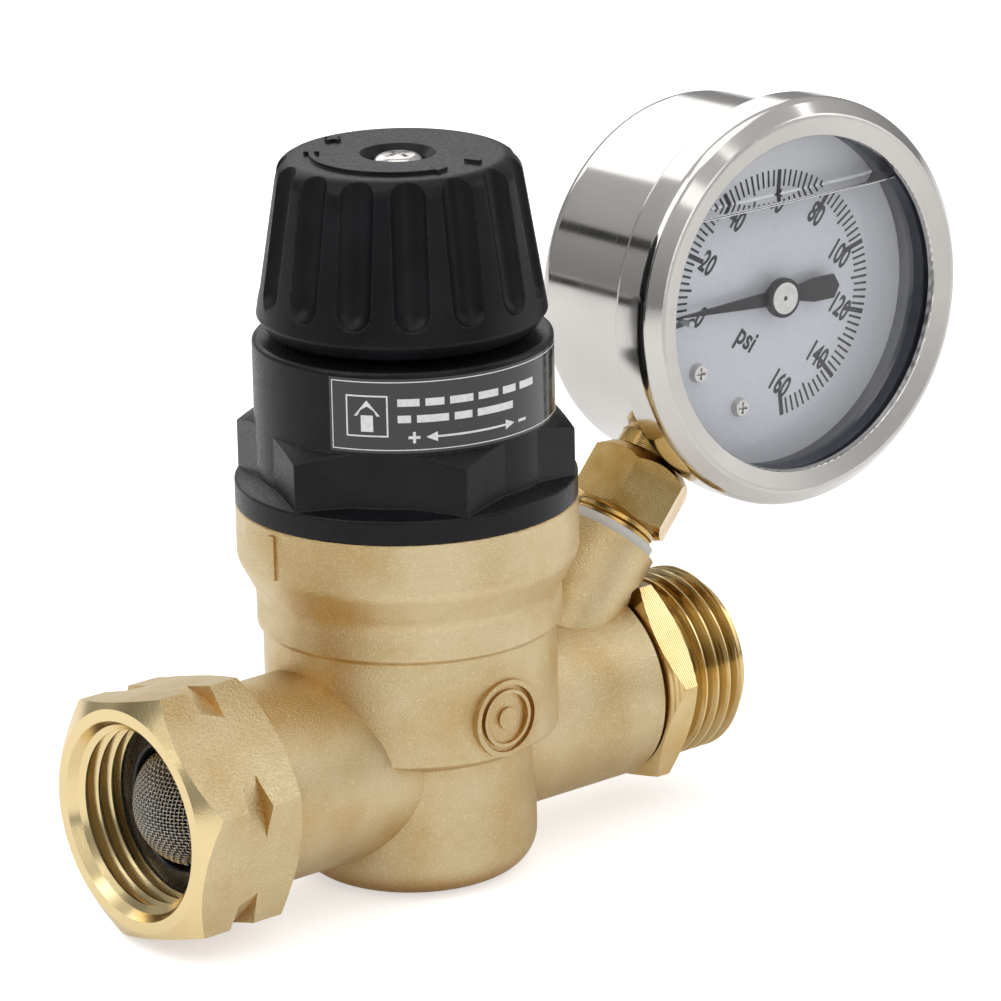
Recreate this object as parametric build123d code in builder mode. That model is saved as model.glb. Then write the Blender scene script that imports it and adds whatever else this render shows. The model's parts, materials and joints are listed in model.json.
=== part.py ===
from build123d import *
import os
from math import asin, cos, pi, radians, sin

# Adjustable hose-thread pressure reducing valve with a liquid-filled gauge, in millimetres.
# Frame: origin at the centre of the flat base, +Z up the knob's axis, flow along +X, gauge facing -Y.

# Body forging
FLOW_Z = 18.5
BOTTOM_R = 17.2
BARREL_R = 20.5
BAND_R = 21.3
RIM_R = 23.8
RIM_TOP = 54.3
INLET_FACE = -50.0
INLET_HEX_AF = 33.0
INLET_HEX_LENGTH = 17.0
INLET_HEX_TURN = -14.0
INLET_NECK_R = 14.2
OUTLET_NECK_R = 14.0
OUTLET_NECK_END = 35.0
WATERWAY_R = 8.5
FACING_R = 16.5
GASKET_SEAT = -39.5
FITTING_SEAT = 25.0
FITTING_SHANK_R = 10.8
RISER_X = 13.0
BOSS_R = 7.8
EMBLEM_Z = 26.5
EMBLEM_RISE = 0.35
PARTING_WIDTH = 1.1

# Garden hose thread, 3/4-11.5
THREAD_PITCH = 2.209
MALE_TURNS = 4
MALE_R = 13.45
MALE_ROOT_R = 12.05
FEMALE_CREST_R = 12.4
FEMALE_ROOT_R = 13.65
FEMALE_TURNS = 3

# Strainer and outlet fitting
SCREEN_R = 8.8
SCREEN_RISE = 7.2
SCREEN_WALL = 0.5
FITTING_HEX_AF = 28.0
FITTING_HEX_LENGTH = 4.9
FITTING_HEX_TURN = -7.0
THREAD_RELIEF = 1.8
COLLAR_R = 12.85
FITTING_FLANGE_R = 12.2
FITTING_HEX_FACE_R = 13.7
OUTLET_END = 52.0
OUTLET_BORE_R = 9.8

# Chambers inside the body
LOWER_CHAMBER_R = 9.5
LOWER_FLOOR = 5.0
SEAT_LEDGE = 25.0
SEAT_R = 12.0
SEAT_TOP = 29.0
SEAT_HOLE_R = 5.5
SEAT_LIP = 24.0
SEAL_THICKNESS = 1.5
UPPER_CHAMBER_R = 14.4
PISTON_LEDGE = 37.0
CYLINDER_R = 16.0
SPIGOT_LEDGE = 46.0
SPIGOT_R = 20.5

# Piston and valve disc
PISTON_R = 15.95
RING_GROOVE = 39.5
RING_GROOVE_R = 14.28
STEM_R = 3.5
DISC_TOP = 22.4
DISC_BOTTOM = 20.2
DISC_HOLE_R = 2.5

# Bonnet and label
FLANGE_TOP = 58.0
HEX_TOP = 66.0
BONNET_HEX_AF = 41.0
BONNET_R = 20.8
BONNET_TOP = 77.6
BONNET_BORE_R = 15.6
BONNET_ROOF = 74.5
HEX_TURN = 11.0
LABEL_FROM = 202.0
LABEL_ARC = 112.0
LABEL_BOTTOM = 66.4
LABEL_TOP = 76.8
LABEL_THICKNESS = 0.12

# Knob
KNOB_BOTTOM = 78.8
KNOB_WIDEST = 80.8
KNOB_R = 20.1
KNOB_TOP = 103.0
KNOB_TOP_R = 16.6
FLUTES = 15
FLUTE_R = 3.0
FLUTE_DEPTH = 1.5
FLUTE_TURN = 19.0
MARK_RISE = 0.25
MARK_R = 11.8
MARK_WIDTH = 0.8
MARK_FROM = 140.0
MARK_ARC = 115.0
PLUS_AT = 100.0
MINUS_AT = 290.0
FLUTE_FOOT = 85.6
HUB_R = 7.2
WEB_BOTTOM = 93.2
KNOB_LIFT = 3.0

# Spindle and spring
SPINDLE_R = 4.0
SPINDLE_END = 56.0
COLLAR_BOTTOM = 71.5
JOURNAL_R = 5.0
JOURNAL_TOP = 78.2
SCREW_R = 2.0
SCREW_HEAD_R = 3.65
SCREW_HEAD_BOTTOM = 100.2
SPINDLE_TOP = 92.0
DRIVE_FLAT = 3.2
RUNNING_GAP = 0.05
LUGS = 4
NUT_BOTTOM = 63.0
NUT_TOP = 68.0
SPRING_SEAT = 43.0
SPRING_R = 11.6
WIRE_R = 1.35
SPRING_TURNS = 4.5

# Gauge: its stem leans from the outlet neck, and its face is turned a little about the stem
STEM_LEAN = 40.8
STEM_FOOT_X = 17.9
STEM_BASE = 28.1
STEM_TO_DIAL = 41.8
FACE_TURN = -2.6
SOCKET_SHANK_R = 4.2
SOCKET_DEPTH = 6.0
GAUGE_PORT_R = 1.6
WASHER_R = 6.9
WASHER_THICKNESS = 1.5
SOCKET_COLLAR = 1.6
SOCKET_HEX_AF = 14.0
SOCKET_HEX_LENGTH = 9.6
SOCKET_HEX_TURN = 10.0
SOCKET_NECK_R = 5.2
CASE_R = 27.0
CASE_WALL = 0.8
CASE_BACK = -14.5
CASE_FRONT = 9.6
PLUG_R = 3.0
PLUG_FORWARD = 1.0
BEZEL_R = 29.6
BEZEL_BACK = 6.1
BEZEL_FRONT = 14.8
BEZEL_ROUNDING = 2.4
WINDOW_R = 24.2
WINDOW_FRONT = 12.8
WINDOW_THICKNESS = 1.6
DIAL_R = 25.0
DIAL_BACK = 5.2
DIAL_FACE = 6.0
DIAL_SCREW_R = 0.9
DIAL_SCREW_HEAD_R = 1.45
SCREW_SPOTS = [(-5.0, -16.0), (5.0, -16.0)]

# Gauge movement, along the gauge's own axis
BLOCK_BACK = -7.5
BLOCK_FOOT = -25.0
BLOCK_HEAD = -14.4
BLOCK_HALF = 6.5
TONGUE_HEAD = -8.0
TUBE_R = 20.8
TUBE_MIDDLE = -3.2
TUBE_FROM = -110.0
TUBE_ARC = 258.0
PLATE_BACK = -4.0
PLATE_FRONT = 2.2
PLATE_THICKNESS = 1.0
PLATE_CENTRE = (1.6, -4.0)
PLATE_WIDTH = 19.6
PLATE_HEIGHT = 19.0
PILLAR_SPOTS = [(-6.0, 3.6), (9.4, 3.6)]
ARBOR_R = 0.7
GEAR_MODULE = 0.4
GEAR_BACKLASH = 0.14
TOOTH_SLOPE = 0.36
GEAR_BACK = -1.6
GEAR_THICKNESS = 1.2
LINK_BACK = 0.75
LINK_THICKNESS = 0.6
PINION_TEETH = 12
SECTOR_TEETH = 48
SECTOR_SPAN = (-10, 1)
SECTOR_BEARING = -60.0
GEAR_CENTRES = GEAR_MODULE * (PINION_TEETH + SECTOR_TEETH) / 2
TAIL_LENGTH = 3.4
POINTER_REST = -129.5
POINTER_BACK = 7.6
POINTER_FRONT = 8.1
POINTER_REACH = 18.2
STOP_BEARING = -133.4
STOP_PIN_OUT = 17.0
STOP_PIN_R = 0.5

os.makedirs("parts", exist_ok=True)


def turned(plane, angle):
    """The same plane turned about its own normal by an angle in degrees."""
    x_dir = plane.x_dir * cos(radians(angle)) + plane.y_dir * sin(radians(angle))
    return Plane(origin=plane.origin, x_dir=x_dir, z_dir=plane.z_dir)


lean = Vector(sin(radians(STEM_LEAN)), 0, cos(radians(STEM_LEAN)))
stem_foot = Vector(STEM_FOOT_X, 0, FLOW_Z)
stem_plane = turned(Plane(origin=stem_foot, x_dir=(0, -1, 0), z_dir=lean), FACE_TURN)
dial_centre = stem_foot + lean * (STEM_BASE + STEM_TO_DIAL)
gauge_normal = stem_plane.x_dir
gauge = Plane(origin=dial_centre, x_dir=lean.cross(gauge_normal), z_dir=gauge_normal)


def save(piece, name):
    """Label a finished piece and write it as its own file."""
    piece.part.label = name
    export_step(piece.part, f"parts/{name}.step")


def outline(*corners):
    """Draw a closed outline. Each corner is x, y and, where it is rounded, its radius."""
    radii = [corner[2] if len(corner) > 2 else 0 for corner in corners]
    FilletPolyline([corner[:2] for corner in corners], radius=radii, close=True)


def across_flats(size):
    """Circumradius of a hexagon from its size across flats."""
    return size / (2 * cos(pi / 6))


def flow_plane(x):
    """Plane across the flow at x, facing +X, with its first axis along +Y."""
    return Plane(origin=(x, 0, FLOW_Z), x_dir=(0, 1, 0), z_dir=(1, 0, 0))


def thread_ridge(start, root, crest, pitch):
    """Corners of one thread ridge from root to crest, along x from its start."""
    land = 0.28
    rise = (pitch - 2 * land) / 2
    return [(start, root), (start + rise, crest), (start + rise + land, crest), (start + 2 * rise + land, root)]


flow_section = Plane(origin=(0, 0, FLOW_Z), x_dir=(1, 0, 0), z_dir=(0, -1, 0))
flow_axis = Axis((0, 0, FLOW_Z), (1, 0, 0))
stem_section = Plane(origin=stem_foot, x_dir=gauge_normal, z_dir=gauge_normal.cross(lean))
stem_axis = Axis(stem_foot, lean)

# Body: inlet hex first, turned at both ends and grooved, then the necks, the barrel and the chambers
INLET_END = INLET_FACE + INLET_HEX_LENGTH
hex_corner_r = across_flats(INLET_HEX_AF)
with BuildPart() as body:
    with BuildSketch(flow_plane(INLET_FACE)):
        RegularPolygon(radius=hex_corner_r, side_count=6, rotation=INLET_HEX_TURN)
    extrude(amount=INLET_HEX_LENGTH)
    with BuildSketch(flow_section):
        with BuildLine():
            outline(
                (INLET_FACE, 0),
                (INLET_FACE, 15.7),
                (INLET_FACE + 2.4, hex_corner_r + 0.3),
                (INLET_FACE + 6.4, hex_corner_r + 0.3),
                (INLET_FACE + 7.4, 17.5),
                (INLET_FACE + 10.4, 17.1),
                (INLET_FACE + 10.7, hex_corner_r + 0.3),
                (INLET_END - 1.8, hex_corner_r + 0.3),
                (INLET_END, 16.2),
                (INLET_END, 0),
            )
        make_face()
    revolve(axis=flow_axis, mode=Mode.INTERSECT)
    with BuildSketch(flow_plane(INLET_END)):
        Circle(INLET_NECK_R)
    extrude(amount=-INLET_END)
    with BuildSketch(flow_plane(0)):
        Circle(OUTLET_NECK_R)
    extrude(amount=OUTLET_NECK_END)
    with BuildSketch(stem_plane):
        Circle(BOSS_R)
    extrude(amount=STEM_BASE)
    with BuildSketch(Plane.XZ):
        with BuildLine():
            outline(
                (0, 0),
                (BOTTOM_R, 0, 5.2),
                (BOTTOM_R, 19.4, 0.8),
                (BARREL_R, 21.0, 0.6),
                (BARREL_R, 36.0, 0.5),
                (BAND_R, 36.7, 0.5),
                (BAND_R, 41.6, 3),
                (RIM_R, 46.4, 3),
                (RIM_R, RIM_TOP, 0.4),
                (0, RIM_TOP),
            )
        make_face()
    revolve(axis=Axis.Z)
    with BuildSketch(Plane.XZ):
        with BuildLine():
            outline(
                (0, LOWER_FLOOR),
                (LOWER_CHAMBER_R, LOWER_FLOOR),
                (LOWER_CHAMBER_R, SEAT_LEDGE),
                (SEAT_R, SEAT_LEDGE),
                (SEAT_R, SEAT_TOP),
                (UPPER_CHAMBER_R, SEAT_TOP),
                (UPPER_CHAMBER_R, PISTON_LEDGE),
                (CYLINDER_R, PISTON_LEDGE),
                (CYLINDER_R, SPIGOT_LEDGE),
                (SPIGOT_R, SPIGOT_LEDGE),
                (SPIGOT_R, RIM_TOP),
                (0, RIM_TOP),
            )
        make_face()
    revolve(axis=Axis.Z, mode=Mode.SUBTRACT)
    with BuildSketch(flow_section):
        with BuildLine():
            outline(
                (INLET_FACE, 0),
                (INLET_FACE, FEMALE_ROOT_R + 0.4),
                (INLET_FACE + 1.4, FEMALE_ROOT_R - 0.4),
                (INLET_FACE + 2.0, FEMALE_CREST_R),
                (GASKET_SEAT, FEMALE_CREST_R),
                (GASKET_SEAT, WATERWAY_R),
                (0, WATERWAY_R),
                (0, 0),
            )
        make_face()
    revolve(axis=flow_axis, mode=Mode.SUBTRACT)
    for turn in range(FEMALE_TURNS):
        with BuildSketch(flow_section):
            start = INLET_FACE + 2.3 + turn * THREAD_PITCH
            Polygon(*thread_ridge(start, FEMALE_CREST_R, FEMALE_ROOT_R, THREAD_PITCH), align=None)
        revolve(axis=flow_axis, mode=Mode.SUBTRACT)
    with BuildSketch(flow_plane(RISER_X)):
        Circle(WATERWAY_R)
    extrude(amount=OUTLET_NECK_END - RISER_X, mode=Mode.SUBTRACT)
    with BuildSketch(flow_plane(FITTING_SEAT)):
        Circle(FITTING_SHANK_R)
    extrude(amount=OUTLET_NECK_END - FITTING_SEAT, mode=Mode.SUBTRACT)
    with BuildSketch(Plane.XY.offset(FLOW_Z)):
        for side in (-5.2, 0, 5.2):
            with Locations((RISER_X + 1.2, side)):
                Circle(2.4)
    extrude(amount=SEAT_TOP + 3 - FLOW_Z, mode=Mode.SUBTRACT)
    with BuildSketch(stem_plane.offset(STEM_BASE)):
        Circle(SOCKET_SHANK_R)
    extrude(amount=-SOCKET_DEPTH, mode=Mode.SUBTRACT)
    with BuildSketch(stem_plane.offset(STEM_BASE)):
        Circle(GAUGE_PORT_R)
    extrude(amount=-STEM_BASE, mode=Mode.SUBTRACT)
    # The outlet end is faced off, clear of the fitting's hex and through the foot of the boss
    with BuildSketch(flow_plane(OUTLET_NECK_END)):
        Circle(FACING_R)
    extrude(amount=20.0, mode=Mode.SUBTRACT)
    # Parting line left by the dies on the inlet side of the rim
    with BuildSketch(Plane(origin=(-RIM_R + 0.6, 0, 47.0), x_dir=(0, 1, 0), z_dir=(0, 0, 1))):
        with Locations((0, 0.45)):
            Rectangle(PARTING_WIDTH, 0.9)
    extrude(amount=RIM_TOP - 48.0)
    # Cast ring emblem on the barrel's front
    with BuildSketch(Plane(origin=(0, -BARREL_R - EMBLEM_RISE, EMBLEM_Z), x_dir=(1, 0, 0), z_dir=(0, -1, 0))):
        Circle(5.5)
        Circle(4.8, mode=Mode.SUBTRACT)
        Circle(4.1)
        Circle(3.6, mode=Mode.SUBTRACT)
        Circle(1.5)
    extrude(amount=-2.5)
save(body, "body")


# Waterway fittings
with BuildPart() as seat_ring:
    with BuildSketch(Plane.XZ):
        with BuildLine():
            outline(
                (SEAT_HOLE_R, SEAT_LIP),
                (SEAT_HOLE_R + 1.2, SEAT_LIP),
                (SEAT_HOLE_R + 1.8, SEAT_LEDGE),
                (SEAT_R, SEAT_LEDGE),
                (SEAT_R, SEAT_TOP),
                (SEAT_HOLE_R, SEAT_TOP),
            )
        make_face()
    revolve(axis=Axis.Z)
save(seat_ring, "seat_ring")

with BuildPart() as strainer_gasket:
    with BuildSketch(flow_plane(GASKET_SEAT)):
        Circle(FEMALE_CREST_R - 0.1)
        Circle(SCREEN_R + 0.05, mode=Mode.SUBTRACT)
    extrude(amount=-2.8)
    fillet(strainer_gasket.edges().group_by(Axis.X)[0], 0.5)
save(strainer_gasket, "strainer_gasket")

with BuildPart() as strainer_screen:
    with BuildSketch(flow_section):
        with BuildLine():
            rim_x = GASKET_SEAT - 0.4
            apex_x = rim_x - SCREEN_RISE
            dome_r = (SCREEN_R**2 + SCREEN_RISE**2) / (2 * SCREEN_RISE)
            inner_r = dome_r - SCREEN_WALL
            centre_x = apex_x + dome_r
            rim_inner = (inner_r**2 - (centre_x - rim_x) ** 2) ** 0.5
            outer = RadiusArc((apex_x, 0), (rim_x, SCREEN_R), dome_r)
            Line((rim_x, SCREEN_R), (rim_x, rim_inner))
            RadiusArc((rim_x, rim_inner), (apex_x + SCREEN_WALL, 0), -inner_r)
            Line((apex_x + SCREEN_WALL, 0), (apex_x, 0))
        make_face()
    revolve(axis=flow_axis)
save(strainer_screen, "strainer_screen")

with BuildPart() as outlet_seal:
    with BuildSketch(flow_plane(FITTING_SEAT)):
        Circle(FITTING_SHANK_R - 0.1)
        Circle(WATERWAY_R + 0.3, mode=Mode.SUBTRACT)
    extrude(amount=SEAL_THICKNESS)
save(outlet_seal, "outlet_seal")

fitting_hex = OUTLET_NECK_END + 0.9
fitting_thread = fitting_hex + FITTING_HEX_LENGTH + THREAD_RELIEF
fitting_corner_r = across_flats(FITTING_HEX_AF) + 0.4
with BuildPart() as outlet_fitting:
    with BuildSketch(flow_plane(fitting_hex)):
        RegularPolygon(radius=across_flats(FITTING_HEX_AF), side_count=6, rotation=FITTING_HEX_TURN)
    extrude(amount=FITTING_HEX_LENGTH)
    with BuildSketch(flow_section):
        with BuildLine():
            outline(
                (fitting_hex, 0),
                (fitting_hex, FITTING_HEX_FACE_R),
                (fitting_hex + 1.5, fitting_corner_r),
                (fitting_hex + FITTING_HEX_LENGTH - 1.7, fitting_corner_r),
                (fitting_hex + FITTING_HEX_LENGTH, FITTING_HEX_FACE_R),
                (fitting_hex + FITTING_HEX_LENGTH, 0),
            )
        make_face()
    revolve(axis=flow_axis, mode=Mode.INTERSECT)
    with BuildSketch(flow_section):
        with BuildLine():
            outline(
                (FITTING_SEAT + SEAL_THICKNESS, 0),
                (FITTING_SEAT + SEAL_THICKNESS, FITTING_SHANK_R - 0.05),
                (OUTLET_NECK_END, FITTING_SHANK_R - 0.05),
                (OUTLET_NECK_END, FITTING_FLANGE_R),
                (fitting_hex + FITTING_HEX_LENGTH, FITTING_FLANGE_R),
                (fitting_hex + FITTING_HEX_LENGTH, COLLAR_R),
                (fitting_thread - 1.6, COLLAR_R),
                (fitting_thread - 1.0, MALE_ROOT_R),
                (OUTLET_END, MALE_ROOT_R),
                (OUTLET_END, 0),
            )
        make_face()
    revolve(axis=flow_axis)
    for turn in range(MALE_TURNS):
        with BuildSketch(flow_section):
            start = fitting_thread + turn * THREAD_PITCH
            ridge = thread_ridge(start, MALE_ROOT_R - 0.02, MALE_R, THREAD_PITCH)
            Polygon(*ridge, align=None)
        revolve(axis=flow_axis)
    with BuildSketch(flow_section):
        with BuildLine():
            outline(
                (FITTING_SEAT, 0),
                (FITTING_SEAT, WATERWAY_R),
                (OUTLET_END - 3.0, WATERWAY_R),
                (OUTLET_END - 2.4, OUTLET_BORE_R),
                (OUTLET_END, OUTLET_BORE_R),
                (OUTLET_END, 0),
            )
        make_face()
    revolve(axis=flow_axis, mode=Mode.SUBTRACT)
save(outlet_fitting, "outlet_fitting")

# Piston with its ring, disc and nut: shown open, as the spring holds it with no pressure
with BuildPart() as piston:
    with BuildSketch(Plane.XZ):
        with BuildLine():
            outline(
                (0, DISC_BOTTOM - 3.6),
                (DISC_HOLE_R, DISC_BOTTOM - 3.6),
                (DISC_HOLE_R, DISC_TOP),
                (STEM_R, DISC_TOP),
                (STEM_R, PISTON_LEDGE, 1.2),
                (PISTON_R, PISTON_LEDGE),
                (PISTON_R, RING_GROOVE),
                (RING_GROOVE_R, RING_GROOVE),
                (RING_GROOVE_R, RING_GROOVE + 2.0),
                (PISTON_R, RING_GROOVE + 2.0),
                (PISTON_R, SPRING_SEAT + 2.0),
                (SPRING_R + WIRE_R + 0.6, SPRING_SEAT + 2.0),
                (SPRING_R + WIRE_R + 0.6, SPRING_SEAT),
                (SPRING_R - WIRE_R - 0.6, SPRING_SEAT),
                (SPRING_R - WIRE_R - 0.9, SPRING_SEAT + 3.0),
                (0, SPRING_SEAT + 3.0),
            )
        make_face()
    revolve(axis=Axis.Z)
save(piston, "piston")

with BuildPart() as piston_ring:
    with Locations((0, 0, RING_GROOVE + 1.0)):
        Torus(RING_GROOVE_R + 0.82, 0.8)
save(piston_ring, "piston_ring")

with BuildPart() as valve_disc:
    with BuildSketch(Plane.XY.offset(DISC_BOTTOM)):
        Circle(8.0)
        Circle(DISC_HOLE_R, mode=Mode.SUBTRACT)
    extrude(amount=DISC_TOP - DISC_BOTTOM)
save(valve_disc, "valve_disc")

with BuildPart() as disc_nut:
    with BuildSketch(Plane.XY.offset(DISC_BOTTOM - 3.0)):
        RegularPolygon(radius=across_flats(8.0), side_count=6)
        Circle(DISC_HOLE_R, mode=Mode.SUBTRACT)
    extrude(amount=3.0)
    chamfer(disc_nut.edges().filter_by(GeomType.CIRCLE).group_by(Axis.Z)[0], 0.3)
save(disc_nut, "disc_nut")

# Bonnet and what it closes
with BuildPart() as bonnet_seal:
    with BuildSketch(Plane.XY.offset(SPIGOT_LEDGE)):
        Circle(SPIGOT_R - 0.1)
        Circle(CYLINDER_R + 0.4, mode=Mode.SUBTRACT)
    extrude(amount=SEAL_THICKNESS)
save(bonnet_seal, "bonnet_seal")

SPIGOT_BOTTOM = SPIGOT_LEDGE + SEAL_THICKNESS
with BuildPart() as bonnet:
    with BuildSketch(Plane.XY.offset(RIM_TOP)):
        RegularPolygon(radius=across_flats(BONNET_HEX_AF), side_count=6, rotation=HEX_TURN)
    extrude(amount=HEX_TOP - RIM_TOP)
    with BuildSketch(Plane.XZ):
        with BuildLine():
            outline(
                (0, RIM_TOP),
                (RIM_R, RIM_TOP),
                (RIM_R, HEX_TOP - 1.8),
                (BONNET_R, HEX_TOP),
                (0, HEX_TOP),
            )
        make_face()
    revolve(axis=Axis.Z, mode=Mode.INTERSECT)
    with BuildSketch(Plane.XZ):
        with BuildLine():
            outline(
                (0, SPIGOT_BOTTOM),
                (SPIGOT_R - RUNNING_GAP, SPIGOT_BOTTOM),
                (SPIGOT_R - RUNNING_GAP, RIM_TOP),
                (RIM_R, RIM_TOP),
                (RIM_R, FLANGE_TOP - 0.5, 0.3),
                (BONNET_R, FLANGE_TOP + 0.5),
                (BONNET_R, BONNET_TOP, 0.7),
                (0, BONNET_TOP),
            )
        make_face()
    revolve(axis=Axis.Z)
    with BuildSketch(Plane.XY.offset(SPIGOT_BOTTOM)):
        Circle(BONNET_BORE_R)
        with PolarLocations(BONNET_BORE_R, LUGS):
            Rectangle(3.2, 4.6)
    extrude(amount=BONNET_ROOF - SPIGOT_BOTTOM, mode=Mode.SUBTRACT)
    with BuildSketch(Plane.XY.offset(BONNET_ROOF)):
        Circle(JOURNAL_R + RUNNING_GAP)
    extrude(amount=BONNET_TOP - BONNET_ROOF, mode=Mode.SUBTRACT)
save(bonnet, "bonnet")

label_start = radians(LABEL_FROM)
label_plane = Plane(
    origin=(0, 0, 0),
    x_dir=(cos(label_start), sin(label_start), 0),
    z_dir=(sin(label_start), -cos(label_start), 0),
)
with BuildPart() as label:
    with BuildSketch(label_plane):
        with Locations((BONNET_R + LABEL_THICKNESS / 2, (LABEL_BOTTOM + LABEL_TOP) / 2)):
            Rectangle(LABEL_THICKNESS, LABEL_TOP - LABEL_BOTTOM)
    revolve(axis=Axis.Z, revolution_arc=LABEL_ARC)
save(label, "label")

with BuildPart() as thrust_washer:
    with BuildSketch(Plane.XY.offset(BONNET_ROOF - 0.5)):
        Circle(7.5)
        Circle(JOURNAL_R + RUNNING_GAP, mode=Mode.SUBTRACT)
    extrude(amount=0.5)
save(thrust_washer, "thrust_washer")

with BuildPart() as spindle:
    with BuildSketch(Plane.XZ):
        with BuildLine():
            outline(
                (0, SPINDLE_END),
                (SPINDLE_R - 0.6, SPINDLE_END),
                (SPINDLE_R, SPINDLE_END + 0.6),
                (SPINDLE_R, COLLAR_BOTTOM),
                (7.5, COLLAR_BOTTOM),
                (7.5, BONNET_ROOF - 0.55),
                (JOURNAL_R, BONNET_ROOF - 0.55),
                (JOURNAL_R, JOURNAL_TOP),
                (0, JOURNAL_TOP),
            )
        make_face()
    revolve(axis=Axis.Z)
    with BuildSketch(Plane.XY.offset(JOURNAL_TOP)):
        Circle(SPINDLE_R)
        Rectangle(2 * SPINDLE_R, 2 * DRIVE_FLAT, mode=Mode.INTERSECT)
    extrude(amount=SPINDLE_TOP - JOURNAL_TOP)
    with BuildSketch(Plane.XY.offset(SPINDLE_TOP)):
        Circle(SCREW_R)
    extrude(amount=-9.0, mode=Mode.SUBTRACT)
save(spindle, "spindle")

with BuildPart() as knob_screw:
    with BuildSketch(Plane.XZ):
        with BuildLine():
            outline(
                (0, SPINDLE_TOP - 8.0),
                (SCREW_R, SPINDLE_TOP - 8.0),
                (SCREW_R, SCREW_HEAD_BOTTOM),
                (SCREW_HEAD_R, SCREW_HEAD_BOTTOM),
                (SCREW_HEAD_R, SCREW_HEAD_BOTTOM + 2.4, 1.6),
                (0, SCREW_HEAD_BOTTOM + 2.6),
            )
        make_face()
    revolve(axis=Axis.Z)
    with BuildSketch(Plane.XY.offset(SCREW_HEAD_BOTTOM + 2.6)):
        Rectangle(4.4, 0.9)
        Rectangle(0.9, 4.4)
    extrude(amount=-1.7, taper=12, mode=Mode.SUBTRACT)
save(knob_screw, "knob_screw")

with BuildPart() as spring_nut:
    with BuildSketch(Plane.XY.offset(NUT_BOTTOM)):
        Circle(BONNET_BORE_R - 0.35)
        with PolarLocations(BONNET_BORE_R - 0.35, LUGS):
            Rectangle(2.6, 4.0)
        Circle(SPINDLE_R + RUNNING_GAP, mode=Mode.SUBTRACT)
    extrude(amount=NUT_TOP - NUT_BOTTOM)
save(spring_nut, "spring_nut")

spring_rise = NUT_BOTTOM - SPRING_SEAT - 2 * WIRE_R - 0.1
with BuildPart() as spring:
    with BuildLine():
        coil = Helix(
            pitch=spring_rise / SPRING_TURNS,
            height=spring_rise,
            radius=SPRING_R,
            center=(0, 0, SPRING_SEAT + WIRE_R + 0.05),
        )
    with BuildSketch(Plane(origin=coil @ 0, z_dir=coil % 0)):
        Circle(WIRE_R)
    sweep()
save(spring, "spring")

# Knob: a fluted shell on a hub that slides on the spindle's flats
flute_slope = (KNOB_R - KNOB_TOP_R) / (KNOB_TOP - KNOB_WIDEST)
flute_lean = asin(flute_slope)
with BuildPart() as knob:
    with BuildSketch(Plane.XZ):
        with BuildLine():
            outline(
                (0, KNOB_BOTTOM),
                (KNOB_R - 1.4, KNOB_BOTTOM, 0.2),
                (KNOB_R, KNOB_WIDEST, 0.5),
                (KNOB_TOP_R, KNOB_TOP - 0.3, 3.0),
                (0, KNOB_TOP),
            )
        make_face()
    revolve(axis=Axis.Z)
    for flute in range(FLUTES):
        bearing = radians(FLUTE_TURN + flute * 360 / FLUTES)
        foot_r = KNOB_R - (FLUTE_FOOT - KNOB_WIDEST) * flute_slope + FLUTE_R - FLUTE_DEPTH
        outward = Vector(cos(bearing), sin(bearing), 0)
        flute_plane = Plane(
            origin=outward * foot_r + Vector(0, 0, FLUTE_FOOT),
            x_dir=(-sin(bearing), cos(bearing), 0),
            z_dir=Vector(0, 0, cos(flute_lean)) - outward * sin(flute_lean),
        )
        with BuildSketch(flute_plane):
            Circle(FLUTE_R)
        extrude(amount=KNOB_TOP - FLUTE_FOOT + 4, mode=Mode.SUBTRACT)
        with Locations(flute_plane):
            Sphere(FLUTE_R, mode=Mode.SUBTRACT)
    with BuildSketch(Plane.XZ):
        with BuildLine():
            outline(
                (HUB_R, KNOB_BOTTOM),
                (HUB_R, 94.0, 0.8),
                (12.4, 94.0, 0.8),
                (16.6, 80.5),
                (17.0, KNOB_BOTTOM),
            )
        make_face()
    revolve(axis=Axis.Z, mode=Mode.SUBTRACT)
    with BuildSketch(Plane.XY.offset(KNOB_BOTTOM)):
        Circle(SPINDLE_R + RUNNING_GAP)
        Rectangle(2 * SPINDLE_R + 1, 2 * (DRIVE_FLAT + RUNNING_GAP), mode=Mode.INTERSECT)
    extrude(amount=WEB_BOTTOM - KNOB_BOTTOM, mode=Mode.SUBTRACT)
    with BuildSketch(Plane.XZ):
        with BuildLine():
            outline(
                (0, WEB_BOTTOM - 0.1),
                (SCREW_R + 0.5, WEB_BOTTOM - 0.1),
                (SCREW_R + 0.5, SCREW_HEAD_BOTTOM - KNOB_LIFT),
                (SCREW_HEAD_R + 0.4, SCREW_HEAD_BOTTOM - KNOB_LIFT),
                (SCREW_HEAD_R + 0.4, KNOB_TOP - 1.3),
                (SCREW_HEAD_R + 1.7, KNOB_TOP),
                (0, KNOB_TOP),
            )
        make_face()
    revolve(axis=Axis.Z, mode=Mode.SUBTRACT)
    # Raised marks on the top: a double-headed arc, a plus and a minus
    with BuildSketch(Plane.XY.offset(KNOB_TOP - 0.2)) as marks:
        with BuildLine():
            CenterArc((0, 0), MARK_R, MARK_FROM, MARK_ARC)
        trace(line_width=MARK_WIDTH)
        for tip, way in ((MARK_FROM, -1), (MARK_FROM + MARK_ARC, 1)):
            with PolarLocations(MARK_R, 1, start_angle=tip):
                Polygon((-1.1, 0), (1.1, 0), (0, way * 2.0), align=None)
        with PolarLocations(MARK_R, 1, start_angle=PLUS_AT):
            Rectangle(0.7, 2.4)
            Rectangle(2.4, 0.7)
        with PolarLocations(MARK_R, 1, start_angle=MINUS_AT):
            Rectangle(2.4, 0.7)
    extrude(amount=MARK_RISE + 0.2)
save(knob, "knob")

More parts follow.
